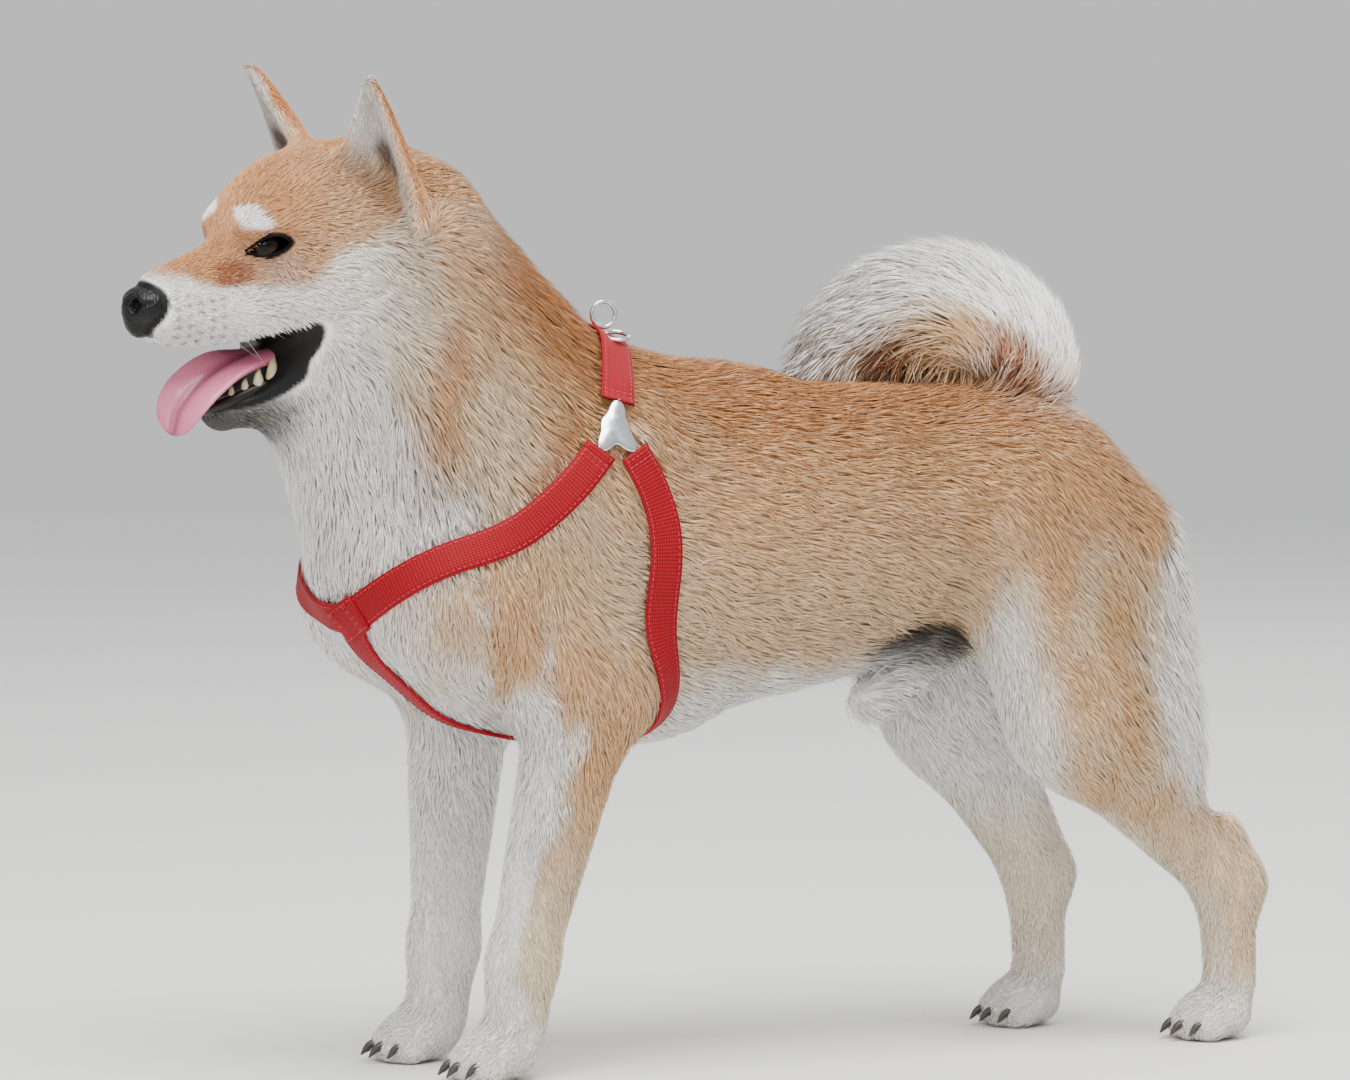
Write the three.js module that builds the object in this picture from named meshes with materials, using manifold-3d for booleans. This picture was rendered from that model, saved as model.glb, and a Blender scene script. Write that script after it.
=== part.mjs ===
// A standing shiba inu, male, life size, in a red walking harness. Millimetres, +X forward, +Y to the dog's left, +Z up.
// The body is one smooth field of tapered bones and muscle masses, turned into a surface once for each part of the
// body, and parted by thin flat cuts. Coat locks, claws and teeth are grown on it in loops.
import * as THREE from "three";
import { mergeVertices } from "three/addons/utils/BufferGeometryUtils.js";
import Module from "manifold-3d";

const wasm = await Module();
wasm.setup();

// Driving dimensions
const gap = 0.3; // clearance of every thin cut
const withers = [25, 0, 396]; // top of the shoulders, coat included
const headCentre = [210, 0, 467]; // middle of the skull
const headYaw = THREE.MathUtils.degToRad(7); // the head turns a little to the dog's left
const headRoll = THREE.MathUtils.degToRad(3); // and tips a little to that side
const floorAt = 8; // height of the floor in the drawing's own frame
const shift = [-1.2, 0, -floorAt]; // moves the whole model so that its box stands centred on the origin
const legSide = 47; // half the distance between left and right legs
const strapWidth = 19;
const strapThick = 2;

// Vector helpers on plain arrays
const add = (a, b) => [a[0] + b[0], a[1] + b[1], a[2] + b[2]];
const sub = (a, b) => [a[0] - b[0], a[1] - b[1], a[2] - b[2]];
const mul = (a, s) => [a[0] * s, a[1] * s, a[2] * s];
const dot = (a, b) => a[0] * b[0] + a[1] * b[1] + a[2] * b[2];
const cross = (a, b) => [a[1] * b[2] - a[2] * b[1], a[2] * b[0] - a[0] * b[2], a[0] * b[1] - a[1] * b[0]];
const unit = (a) => mul(a, 1 / Math.hypot(...a));
const clamp = (x, lo, hi) => Math.min(hi, Math.max(lo, x));

// Field pieces: each returns a distance, negative inside.
// A bone is a capsule whose radius runs from ra to rb; wide stretches it sideways.
function bone(a, b, ra, rb, wide = 1) {
  const ab = sub(b, a);
  ab[1] /= wide;
  const len2 = dot(ab, ab);
  return (p) => {
    const q = [p[0] - a[0], (p[1] - a[1]) / wide, p[2] - a[2]];
    const t = clamp(dot(q, ab) / len2, 0, 1);
    const d = Math.hypot(q[0] - ab[0] * t, q[1] - ab[1] * t, q[2] - ab[2] * t);
    return d - (ra + (rb - ra) * t);
  };
}
// A mass is an ellipsoid, tipped by pitch degrees about the sideways axis.
function mass(c, r, pitch = 0) {
  const cos = Math.cos(THREE.MathUtils.degToRad(pitch));
  const sin = Math.sin(THREE.MathUtils.degToRad(pitch));
  const least = Math.min(...r);
  return (p) => {
    const x = p[0] - c[0];
    const z = p[2] - c[2];
    const q = [(x * cos + z * sin) / r[0], (p[1] - c[1]) / r[1], (-x * sin + z * cos) / r[2]];
    const k0 = Math.hypot(...q);
    const k1 = Math.hypot(q[0] / r[0], q[1] / r[1], q[2] / r[2]);
    return k1 < 1e-9 ? -least : (k0 * (k0 - 1)) / k1;
  };
}
// Rounded joins and cuts, with k the size of the round in millimetres.
const smoothMin = (a, b, k) => {
  const h = Math.max(k - Math.abs(a - b), 0) / k;
  return Math.min(a, b) - (h * h * k) / 4;
};
const smoothMax = (a, b, k) => -smoothMin(-a, -b, k);
const blend = (k, ...fields) => (p) => fields.reduce((d, f) => smoothMin(d, f(p), k), 1e3);
const carve = (k, field, ...cutters) => (p) =>
  cutters.reduce((d, f) => -smoothMin(-d, f(p), k), field(p));
const mirrored = (field) => (p) => field([p[0], Math.abs(p[1]), p[2]]);
const onSide = (side, v) => [v[0], v[1] * side, v[2]];

// The head has its own frame: u forward, v to the left, w up, from the middle of the skull.
const headU = [Math.cos(headYaw), Math.sin(headYaw), 0];
const headLeft = [-Math.sin(headYaw), Math.cos(headYaw), 0];
const headV = add(mul(headLeft, Math.cos(headRoll)), [0, 0, -Math.sin(headRoll)]);
const headW = add(mul(headLeft, Math.sin(headRoll)), [0, 0, Math.cos(headRoll)]);
function toHead(p) {
  const q = sub(p, headCentre);
  return [dot(q, headU), dot(q, headV), dot(q, headW)];
}
function turnedFromHead(q) {
  return add(add(mul(headU, q[0]), mul(headV, q[1])), mul(headW, q[2]));
}
const fromHead = (q) => add(headCentre, turnedFromHead(q));

// Head masses in the head's frame
const skull = mass([-2, 0, 6], [66, 54, 45], -6);
const forehead = mass([34, 0, 14], [38, 36, 28], -20);
const muzzleTop = bone([50, 0, -19], [106, 0, -33.5], 27, 17.5, 0.95);
const muzzleSide = bone([48, 15, -42], [103, 8, -46], 17, 11.5);
const cheek = mass([-2, 34, -36], [52, 31, 40], 20);
const brow = mass([54, 23, 5], [15, 13, 9], 10);
const behindEar = mass([-34, 38, 6], [30, 26, 36]);
const upperFace = mirrored(blend(14, skull, forehead, muzzleTop, muzzleSide, cheek, brow, behindEar));
const jawBody = bone([8, 0, -64], [69, 0, -92], 26, 12.5, 1.1);
const jawSide = bone([0, 30, -58], [60, 11, -86], 19, 9.5);
const lowerFace = mirrored(blend(12, jawBody, jawSide));
const throat = bone([4, 0, -52], [-30, 0, -40], 46, 60);
// The open mouth is a wedge between the lips that rises to a round corner.
const mouthCorner = [37, 0, -53];
const lipPlanes = {
  upper: { at: [75, 0, -59.5], up: [0.02, 0, 1] },
  rise: { at: [75, 0, -59.5], up: unit([0.45, 0, 1]) },
  fall: { at: [38, 0, -64], up: unit([1.07, 0, 1]) },
  lower: { at: [53, 0, -81], up: unit([0.22, 0, 1]) },
};
const aboveLip = ({ at, up }) => (q) => dot(sub(q, at), up);
const mouthWedge = (q) => {
  const roof = smoothMin(aboveLip(lipPlanes.upper)(q), aboveLip(lipPlanes.rise)(q), 6);
  const floor = -smoothMin(aboveLip(lipPlanes.fall)(q), aboveLip(lipPlanes.lower)(q), 8);
  return -smoothMin(-smoothMax(roof, floor, 5), q[0] - mouthCorner[0], 10);
};
const eyeSpot = [55, 23.5, -6];
const eyeRadius = 11;
const headBare = carve(5, blend(12, upperFace, lowerFace, throat), mouthWedge);
const noseField = blend(4, mass([116, 0, -36], [13, 15.5, 11]), mass([119, 0, -43], [9, 7, 10]));
const nostril = { at: [128, 7, -36], size: [7, 3.2, 3.6] };

// Ears: a triangular shell, thick at the base, with the cup facing forward and out.
const earBaseAt = [-6, 42, 27];
const earTip = [26, 70, 87];
const earAxis = unit(sub(earTip, earBaseAt));
const earFacing = unit([0.95, 0.27, -0.2]);
const earAcross = unit(cross(earAxis, earFacing));
const earFront = cross(earAcross, earAxis);
const earLength = Math.hypot(...sub(earTip, earBaseAt));
const inEar = (q) => {
  const r = sub(q, earBaseAt);
  return [dot(r, earAcross), dot(r, earFront), dot(r, earAxis) / earLength];
};
const earForm = mirrored((q) => {
  const [s, f, t] = inEar(q);
  const half = 32.5 * Math.pow(clamp(1 - t, 0, 1.6), 0.9) + 1.6;
  const bowl = 0.012 * s * s; // the sides of the cup come forward
  const thick = 6.5 - 2.5 * clamp(t, 0, 1);
  const wide = Math.abs(s) - half;
  const deep = Math.abs(f - bowl + 6) - thick;
  const long = Math.max((t - 1) * earLength, (-t - 0.15) * earLength);
  return -smoothMin(-wide, -Math.max(deep, long), 7);
});
const headForm = blend(11, headBare, earForm);
const inHead = (field) => (p) => field(toHead(p));

// Neck and trunk
const neck = bone([104, 0, 324], [196, 0, 440], 84, 70, 0.88);
const nape = bone([70, 0, 372], [150, 0, 440], 30, 38, 0.85);
const bib = bone([196, 0, 376], [174, 0, 300], 52, 52, 0.95);
const chestMass = mass([60, 0, 292], [128, 78, 98], -8);
const ribs = mass([-25, 0, 298], [125, 76, 90], 4);
const belly = mass([-125, 0, 308], [95, 62, 74], 2);
const rump = mass([-190, 0, 318], [72, 62, 60], -14);
const prosternum = mass([168, 0, 282], [42, 52, 48], 20);
const brisket = bone([130, 0, 240], [30, 0, 225], 38, 36, 1.1);
const shoulderTop = bone([34, 0, 350], [-20, 0, 348], 40, 38, 0.95);
const sheath = bone([-152, 0, 236], [-110, 0, 205], 17, 16);

// Limbs: joints are named points on the left, mirrored or moved for the right.
const foreJoints = (side, lean) => ({
  shoulder: [150 + 0.5 * lean.elbow, side * 46, 268],
  elbow: [78 + lean.elbow, side * 52, 220],
  wrist: [108 + lean.wrist, side * legSide, 72],
  toes: [116 + lean.wrist, side * legSide, 28],
});
function foreleg(side, lean) {
  const j = foreJoints(side, lean);
  const shoulderBlade = bone([62, side * 42, 345], j.shoulder, 34, 44, 0.8);
  const upperArm = bone(j.shoulder, j.elbow, 40, 36, 0.85);
  const forearm = bone(add(j.elbow, [6, 0, -2]), j.wrist, 31, 18.5, 0.86);
  const elbowPoint = bone(add(j.elbow, [-12, 0, 8]), add(j.elbow, [-16, 0, -6]), 14, 10);
  const pastern = bone(j.wrist, add(j.toes, [-3, 0, 6]), 19, 18);
  return blend(16, shoulderBlade, upperArm, blend(12, forearm, elbowPoint, pastern));
}
const hindJoints = (side, back) => ({
  hip: [-196, side * 36, 300],
  knee: [-186 - 0.4 * back, side * 52, 196],
  hock: [-240 - back, side * 49, 94],
  toes: [-240 - back, side * 49, 30],
});
function hindleg(side, back) {
  const j = hindJoints(side, back);
  const thigh = bone(j.hip, j.knee, 60, 40, 0.72);
  const ham = bone([-232 - 0.2 * back, side * 38, 285], add(j.knee, [-44 - 0.15 * back, 0, -18]), 42, 26, 0.75);
  const calf = bone(j.knee, j.hock, 36, 16, 0.8);
  const heel = bone(add(j.hock, [0, 0, 34]), add(j.hock, [-12, 0, 2]), 9, 10.5);
  const metatarsus = bone(j.hock, add(j.toes, [-2, 0, 10]), 17, 15.5, 0.95);
  return blend(16, blend(26, thigh, ham, calf), heel, metatarsus);
}
// A paw: four toes in an arc round the main pad, flat on the floor.
const toeSpread = [-15.5, -6, 6, 15.5];
const toeReach = [18, 25, 25, 18];
function paw(toes) {
  const ground = [toes[0], toes[1], floorAt];
  const pad = mass(add(ground, [8, 0, 14]), [22, 20, 16]);
  const digits = toeSpread.map((across, i) =>
    bone(add(ground, [10, across * 0.75, 15]), add(ground, [toeReach[i], across, 8.5]), 9, 8.6),
  );
  return blend(7, pad, ...digits);
}
const foreLean = { left: { elbow: 4, wrist: 14 }, right: { elbow: 34, wrist: 22 } };
const hindBack = { left: 72, right: 0 };
const sides = { left: 1, right: -1 };
const limbs = Object.entries(sides).flatMap(([name, side]) => [
  foreleg(side, foreLean[name]),
  paw(foreJoints(side, foreLean[name]).toes),
  hindleg(side, hindBack[name]),
  paw(hindJoints(side, hindBack[name]).toes),
]);
const trunk = blend(32, neck, nape, bib, chestMass, ribs, belly, rump, prosternum, brisket, shoulderTop);
const bodyForm = (p) => {
  const torso = smoothMin(trunk(p), sheath(p), 12);
  const legs = limbs.reduce((d, f) => smoothMin(d, f(p), 9), 1e3);
  const whole = smoothMin(torso, legs, 22);
  return Math.max(smoothMin(whole, inHead(headForm)(p), 26), floorAt - p[2]);
};

// Tail: a brush that rises from the croup and curls forward over the back to the right flank.
const tailLine = new THREE.CatmullRomCurve3(
  [
    [-200, 0, 350], [-204, -3, 382], [-190, -9, 409], [-158, -18, 423], [-124, -28, 415], [-103, -38, 394], [-98, -47, 372],
  ].map((p) => new THREE.Vector3(...p)),
);
const tailRadius = (t) => 26 + 11 * Math.sin(Math.PI * Math.min(1, t * 1.25)) - 16 * Math.max(0, t - 0.8) / 0.2 * 0.6;
const tailSteps = 48;
const tailPoints = Array.from({ length: tailSteps + 1 }, (_, i) => tailLine.getPointAt(i / tailSteps).toArray());
const tailForm = (p) =>
  tailPoints.reduce((d, c, i) => smoothMin(d, Math.hypot(...sub(p, c)) - tailRadius(i / tailSteps), 3), 1e3);

// Surface of a field inside a box: one vertex for each cell that the surface crosses, moved onto the surface.
function surfaceOf(field, low, high, cell) {
  const n = low.map((l, i) => Math.ceil((high[i] - l) / cell) + 1);
  const at = (i, j, k) => (k * n[1] + j) * n[0] + i;
  const value = new Float64Array(n[0] * n[1] * n[2]);
  const place = (i, j, k) => [low[0] + i * cell, low[1] + j * cell, low[2] + k * cell];
  for (let k = 0; k < n[2]; k++)
    for (let j = 0; j < n[1]; j++)
      for (let i = 0; i < n[0]; i++) {
        const edge = !i || !j || !k || i === n[0] - 1 || j === n[1] - 1 || k === n[2] - 1;
        value[at(i, j, k)] = edge ? Math.max(1e-3, field(place(i, j, k))) : field(place(i, j, k));
      }
  const corners = [];
  for (let c = 0; c < 8; c++) corners.push([c & 1, (c >> 1) & 1, (c >> 2) & 1]);
  const edges = [];
  for (let a = 0; a < 8; a++)
    for (const bit of [1, 2, 4]) if (!(a & bit)) edges.push([a, a | bit]);
  const points = [];
  const index = new Int32Array(value.length).fill(-1);
  for (let k = 0; k < n[2] - 1; k++)
    for (let j = 0; j < n[1] - 1; j++)
      for (let i = 0; i < n[0] - 1; i++) {
        const v = corners.map(([a, b, c]) => value[at(i + a, j + b, k + c)]);
        const inside = v.filter((x) => x < 0).length;
        if (inside === 0 || inside === 8) continue;
        let sum = [0, 0, 0];
        let count = 0;
        for (const [a, b] of edges) {
          if (v[a] < 0 === v[b] < 0) continue;
          const t = v[a] / (v[a] - v[b]);
          const ca = corners[a];
          const cb = corners[b];
          sum = add(sum, ca.map((x, m) => x + (cb[m] - x) * t));
          count++;
        }
        index[at(i, j, k)] = points.length;
        points.push(place(i + sum[0] / count, j + sum[1] / count, k + sum[2] / count));
      }
  const faces = [];
  const quad = (a, b, c, d, flip) => {
    if (flip) [b, d] = [d, b];
    faces.push(a, b, c, a, c, d);
  };
  for (let k = 0; k < n[2] - 1; k++)
    for (let j = 0; j < n[1] - 1; j++)
      for (let i = 0; i < n[0] - 1; i++) {
        const here = value[at(i, j, k)] < 0;
        if (j && k && here !== value[at(i + 1, j, k)] < 0)
          quad(index[at(i, j - 1, k - 1)], index[at(i, j, k - 1)], index[at(i, j, k)], index[at(i, j - 1, k)], !here);
        if (i && k && here !== value[at(i, j + 1, k)] < 0)
          quad(index[at(i - 1, j, k - 1)], index[at(i - 1, j, k)], index[at(i, j, k)], index[at(i, j, k - 1)], !here);
        if (i && j && here !== value[at(i, j, k + 1)] < 0)
          quad(index[at(i - 1, j - 1, k)], index[at(i, j - 1, k)], index[at(i, j, k)], index[at(i - 1, j, k)], !here);
      }
  const moved = points.map((p) => {
    for (let pass = 0; pass < 2; pass++) {
      const d = field(p);
      const h = 0.2;
      const g = [0, 1, 2].map((m) => {
        const step = [0, 0, 0];
        step[m] = h;
        return (field(add(p, step)) - field(sub(p, step))) / (2 * h);
      });
      const g2 = Math.max(dot(g, g), 0.2);
      const shift = clamp(d / g2, -0.3 * cell, 0.3 * cell);
      p = sub(p, mul(g, shift));
    }
    return p;
  });
  return solid({ points: moved, faces }).simplify(slack * cell);
}

// Between three.js geometry and closed solids
function solid({ points, faces }) {
  const mesh = new wasm.Mesh({ numProp: 3, vertProperties: new Float32Array(points.flat()), triVerts: new Uint32Array(faces) });
  return new wasm.Manifold(mesh);
}
function solidOf(geometry) {
  const bare = geometry.clone();
  for (const name of Object.keys(bare.attributes)) if (name !== "position") bare.deleteAttribute(name);
  const merged = mergeVertices(bare, 1e-4);
  return new wasm.Manifold(
    new wasm.Mesh({ numProp: 3, vertProperties: merged.attributes.position.array, triVerts: merged.index.array }),
  );
}
function largest(made) {
  return made.decompose().reduce((a, b) => (b.volume() > a.volume() ? b : a));
}
const dog = new THREE.Group();
function place(name, made, material) {
  const m = largest(largest(made).simplify(0.04)).getMesh();
  const geometry = new THREE.BufferGeometry();
  const xyz = new Float32Array(m.numVert * 3);
  for (let i = 0; i < m.numVert; i++)
    for (let c = 0; c < 3; c++) xyz[i * 3 + c] = m.vertProperties[i * m.numProp + c] + shift[c];
  geometry.setAttribute("position", new THREE.BufferAttribute(xyz, 3));
  geometry.setIndex(new THREE.BufferAttribute(m.triVerts, 1));
  geometry.computeVertexNormals();
  const mesh = new THREE.Mesh(geometry, material);
  mesh.name = name;
  dog.add(mesh);
}

// Finishes
const finish = (color, roughness, metalness = 0) => new THREE.MeshStandardMaterial({ color, roughness, metalness });
const redCoat = finish(0xc98a52, 0.85);
const creamCoat = finish(0xe9e2d6, 0.85);
const noseLeather = finish(0x1c1a1b, 0.45);
const tongueSkin = finish(0xc9738a, 0.4);
const eyeGloss = finish(0x1b100c, 0.08);
const webbing = finish(0xb3152b, 0.7);
const steel = finish(0xc9ccd0, 0.25, 1);

// Cells: half spaces as large slabs, and other shares of the body as extruded outlines.
const half = gap / 2;
const far = 900;
function beyond(point, normal, back = 0) {
  const slab = new THREE.BoxGeometry(far, far, far).translate(0, 0, far / 2 + back);
  const turn = new THREE.Quaternion();
  turn.setFromUnitVectors(new THREE.Vector3(0, 0, 1), new THREE.Vector3(...unit(normal)));
  return solidOf(slab.applyQuaternion(turn).translate(...point));
}
// An outline of [across, up] pairs, carried along the third way from one end to the other.
function extruded(outline, from, to, along, acrossAxis, upAxis, origin = [0, 0, 0]) {
  const shape = new THREE.Shape(outline.map(([a, b]) => new THREE.Vector2(a, b)));
  const block = new THREE.ExtrudeGeometry(shape, { depth: to - from, bevelEnabled: false });
  block.translate(0, 0, from);
  const turn = new THREE.Matrix4().makeBasis(...[acrossAxis, upAxis, along].map((v) => new THREE.Vector3(...v)));
  turn.setPosition(...origin);
  block.applyMatrix4(turn);
  if (turn.determinant() < 0) flipFaces(block);
  return solidOf(block);
}
function flipFaces(geometry) {
  const a = geometry.attributes.position.array;
  for (let i = 0; i < a.length; i += 9)
    for (let m = 0; m < 3; m++) [a[i + 3 + m], a[i + 6 + m]] = [a[i + 6 + m], a[i + 3 + m]];
}
const foreOutline = (g) => [[26 - g, -20], [26 - g, 204 + g], [96 - g, 330 + g], [170, 330 + g], [170, -20]];
const hindOutline = (g) => [[9 - g, -20], [9 - g, 214 + g], [88 - g, 352 + g], [170, 352 + g], [170, -20]];
const foreSpan = [38, 190];
const hindSpan = [-420, -158];
const legCell = (side, outline, [from, to], g) => extruded(outline(g), from - g, to + g, [1, 0, 0], [0, side, 0], [0, 0, 1]);
const headCut = { point: fromHead([-56, 0, 44]), normal: [0.833, 0, 0.553] };
const neckCut = { point: [58, 0, 400], normal: [0.66, 0, 0.75] };
const headShare = beyond(headCut.point, headCut.normal, half);
const neckGrown = beyond(neckCut.point, neckCut.normal, -half);
const neckShare = beyond(neckCut.point, neckCut.normal, half).subtract(beyond(headCut.point, headCut.normal, -half));

// Detail sizes of each surface
const cells = { head: 6.5, neck: 19, torso: 22, fore: 14, hind: 14, paw: 8, tail: 17, nose: 4.4, ear: 5.5 };
const slack = 0.08; // share of a cell by which a surface may move while its triangles are thinned out

// Harness: ribbons laid on the coat. Each runs through points that are moved onto the body's surface.
function gradient(field, p) {
  const h = 1;
  return unit([0, 1, 2].map((m) => {
    const step = [0, 0, 0];
    step[m] = h;
    return field(add(p, step)) - field(sub(p, step));
  }));
}
function onSurface(p, rise = 0) {
  for (let pass = 0; pass < 6; pass++) p = sub(p, mul(gradient(bodyForm, p), bodyForm(p) - rise));
  return p;
}
// A ribbon's section has five stations across, so that it bends round the body.
function ribbon(points, { width = strapWidth, under = 0.8, over = 1.2, spare = 0, steps = 10 } = {}) {
  const curve = new THREE.CatmullRomCurve3(points.map((p) => new THREE.Vector3(...onSurface(p))));
  const rows = [];
  for (let i = 0; i <= steps; i++) {
    const middle = onSurface(curve.getPointAt(i / steps).toArray());
    const tangent = curve.getTangentAt(i / steps).toArray();
    const up = gradient(bodyForm, middle);
    const side = unit(cross(up, tangent));
    const ends = i === 0 ? -spare : i === steps ? spare : 0;
    const inner = [];
    const outer = [];
    for (const k of [-1, 0, 1]) {
      const spot = onSurface(add(middle, mul(side, (k * (width + 2 * spare)) / 2)));
      const seat = add(spot, mul(tangent, ends));
      const rise = gradient(bodyForm, spot);
      inner.push(sub(seat, mul(rise, under + spare)));
      outer.push(add(seat, mul(rise, over + 8 * spare)));
    }
    rows.push([...inner, ...outer.reverse()]);
  }
  return lofted(rows);
}
function lofted(rows) {
  const n = rows[0].length;
  const faces = [];
  for (let i = 0; i + 1 < rows.length; i++)
    for (let j = 0; j < n; j++) {
      const a = i * n + j;
      const b = i * n + ((j + 1) % n);
      faces.push(a, b, b + n, a, b + n, a + n);
    }
  for (let j = 1; j + 1 < n; j++) {
    const end = (rows.length - 1) * n;
    faces.push(0, j + 1, j, end, end + j, end + j + 1);
  }
  let made = solid({ points: rows.flat(), faces });
  if (made.volume() < 0) {
    for (let i = 0; i < faces.length; i += 3) [faces[i + 1], faces[i + 2]] = [faces[i + 2], faces[i + 1]];
    made = solid({ points: rows.flat(), faces });
  }
  return made;
}
const plateAt = { left: [77, 62, 359], right: [77, -62, 359] };
const sternumAt = [200, 16, 268];
const girthAt = [72, 0, 194];
const strapRuns = {
  back_strap: [plateAt.left, [66, 36, 386], [60, 0, 400], [66, -36, 386], plateAt.right],
  neck_strap_left: [plateAt.left, [95, 72, 340], [114, 74, 323], [140, 70, 302], [164, 60, 287], [186, 40, 276], sternumAt],
  neck_strap_right: [plateAt.right, [95, -72, 340], [114, -74, 323], [140, -70, 302], [164, -60, 287], [190, -28, 274], sternumAt],
  girth_strap_left: [plateAt.left, [56, 78, 330], [49, 80, 297], [54, 74, 255], [64, 50, 214], girthAt],
  girth_strap_right: [plateAt.right, [56, -78, 330], [49, -80, 297], [54, -74, 255], [64, -50, 214], girthAt],
  sternum_strap: [sternumAt, [186, 6, 239], [164, 2, 210], [140, 0, 196], [110, 0, 190], girthAt],
};
// Round metal plates join the webbing at the shoulders; flat ones join it at the breast and under the chest.
function disc(at, radius, under, over) {
  const middle = onSurface(at);
  const up = new THREE.Vector3(...gradient(bodyForm, middle));
  const round = new THREE.CylinderGeometry(radius, radius, under + over, 20).translate(0, (over - under) / 2, 0);
  round.applyQuaternion(new THREE.Quaternion().setFromUnitVectors(new THREE.Vector3(0, 1, 0), up));
  return solidOf(round.translate(...middle));
}
const plates = {};
let platesGrown = [];
for (const [name, at] of [["plate_left", plateAt.left], ["plate_right", plateAt.right], ["breast_plate", sternumAt], ["girth_plate", girthAt]]) {
  plates[name] = disc(at, 15, 1.5, 2);
  platesGrown.push(disc(at, 15 + gap, 1.5 + gap, 14));
}
const straps = {};
const grooves = [...platesGrown];
for (const [name, points] of Object.entries(strapRuns)) {
  straps[name] = wasm.Manifold.difference([ribbon(points), ...grooves]);
  grooves.push(ribbon(points, { spare: 0.8 }));
}
const grooved = (made) => wasm.Manifold.difference([made, ...grooves]);
// The back strap carries a loop with a ring for a lead.
const ringAt = onSurface([60, 0, 402]);
const ring = solidOf(mergedTorus(7, 1.4, 16, 7)).transform(placed(add(ringAt, [-1, 0, 11.4]), [90, 0, 0]));
function mergedTorus(radius, tube, around, sides) {
  return new THREE.TorusGeometry(radius, tube, sides, around);
}
function placed(at, degrees) {
  const turn = new THREE.Euler(...degrees.map(THREE.MathUtils.degToRad));
  return new THREE.Matrix4().makeRotationFromEuler(turn).setPosition(...at).elements;
}

// Head solids. A cut runs from the corner of the mouth back and down to the throat; below it is the lower jaw.
const jawOutline = (g) => [
  [160, -61.5 + g], [78, -61.5 + g], [60, -57 + g], [42, -51 + g], [37 - g, -51.5 + g], [14 - g, -60 + g], [-8 - g, -92],
  [-4 - g, -150], [160, -150],
];
const jawCell = (g) => extruded(jawOutline(g), -90, 90, mul(headV, -1), headU, headW, headCentre);
const eyeSign = (side) => [eyeOut[0], eyeOut[1] * side, eyeOut[2]];
const eyeOut = unit([0.5, 0.86, 0.06]);
function eyeCentre(side) {
  let p = fromHead([eyeSpot[0], eyeSpot[1] * side, eyeSpot[2]]);
  const out = turnedFromHead(eyeSign(side));
  for (let pass = 0; pass < 30; pass++) p = sub(p, mul(out, bodyForm(p) * 0.7));
  return sub(p, mul(out, eyeRadius + 1.6));
}
const ball = (at, radius) => solidOf(new THREE.IcosahedronGeometry(radius, 1).translate(...at));
// The lids leave an opening shaped like a rounded triangle, higher at the outer corner.
const lidOutline = [[-12.5, -3.4], [-8, -0.2], [-2, 3.6], [4, 5.4], [9.5, 4.4], [12.5, 1.2], [9, -2.4], [3, -4.8], [-4, -5.2], [-9, -4.4]];
function lidOpening(side) {
  const out = turnedFromHead(eyeSign(side));
  const back = unit(sub(turnedFromHead([-1, 0, 0]), mul(out, dot(turnedFromHead([-1, 0, 0]), out))));
  const up = side > 0 ? cross(out, back).map((x) => -x) : cross(out, back);
  const upward = up[2] < 0 ? mul(up, -1) : up;
  return extruded(lidOutline, 0, 40, out, back, upward, eyeCentre(side));
}
const earPlane = { at: [-1, 47, 53], normal: earAxis };
function earCell(side, shiftBy) {
  const at = fromHead(onSide(side, earPlane.at));
  const normal = turnedFromHead(onSide(side, earPlane.normal));
  const reach = side > 0 ? [20, 120] : [-120, -20];
  const lane = extruded([[-60, 0], [30, 0], [60, 140], [-60, 140]], ...reach, headV, headU, headW, headCentre);
  return beyond(at, normal, shiftBy).intersect(lane);
}
function earBox(side) {
  const middle = fromHead(onSide(side, [6, 55, 66]));
  return [sub(middle, [52, 40, 40]), add(middle, [48, 40, 40])];
}
const noseBare = surfaceOf(inHead(noseField), fromHead([98, -22, -62]), fromHead([138, 22, -16]), cells.nose);
function nostrilSolid(side) {
  const egg = new THREE.IcosahedronGeometry(1, 1).scale(...nostril.size).rotateZ(headYaw + side * 0.35);
  return solidOf(egg.translate(...fromHead(onSide(side, nostril.at))));
}
const noseSolid = noseBare.subtract(nostrilSolid(1)).subtract(nostrilSolid(-1));
const noseRoom = surfaceOf(inHead((q) => noseField(q) - 0.5), fromHead([94, -26, -66]), fromHead([142, 26, -12]), cells.nose);
const headBox = [[110, -100, 330], [370, 110, 570]];
const wholeHead = surfaceOf(bodyForm, ...headBox, cells.head).intersect(headShare);
let headMade = wholeHead.subtract(jawCell(half)).subtract(noseRoom);
for (const side of [1, -1]) {
  headMade = headMade.subtract(earCell(side, -half)).subtract(ball(eyeCentre(side), eyeRadius + gap));
  headMade = headMade.subtract(lidOpening(side));
}

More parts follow.
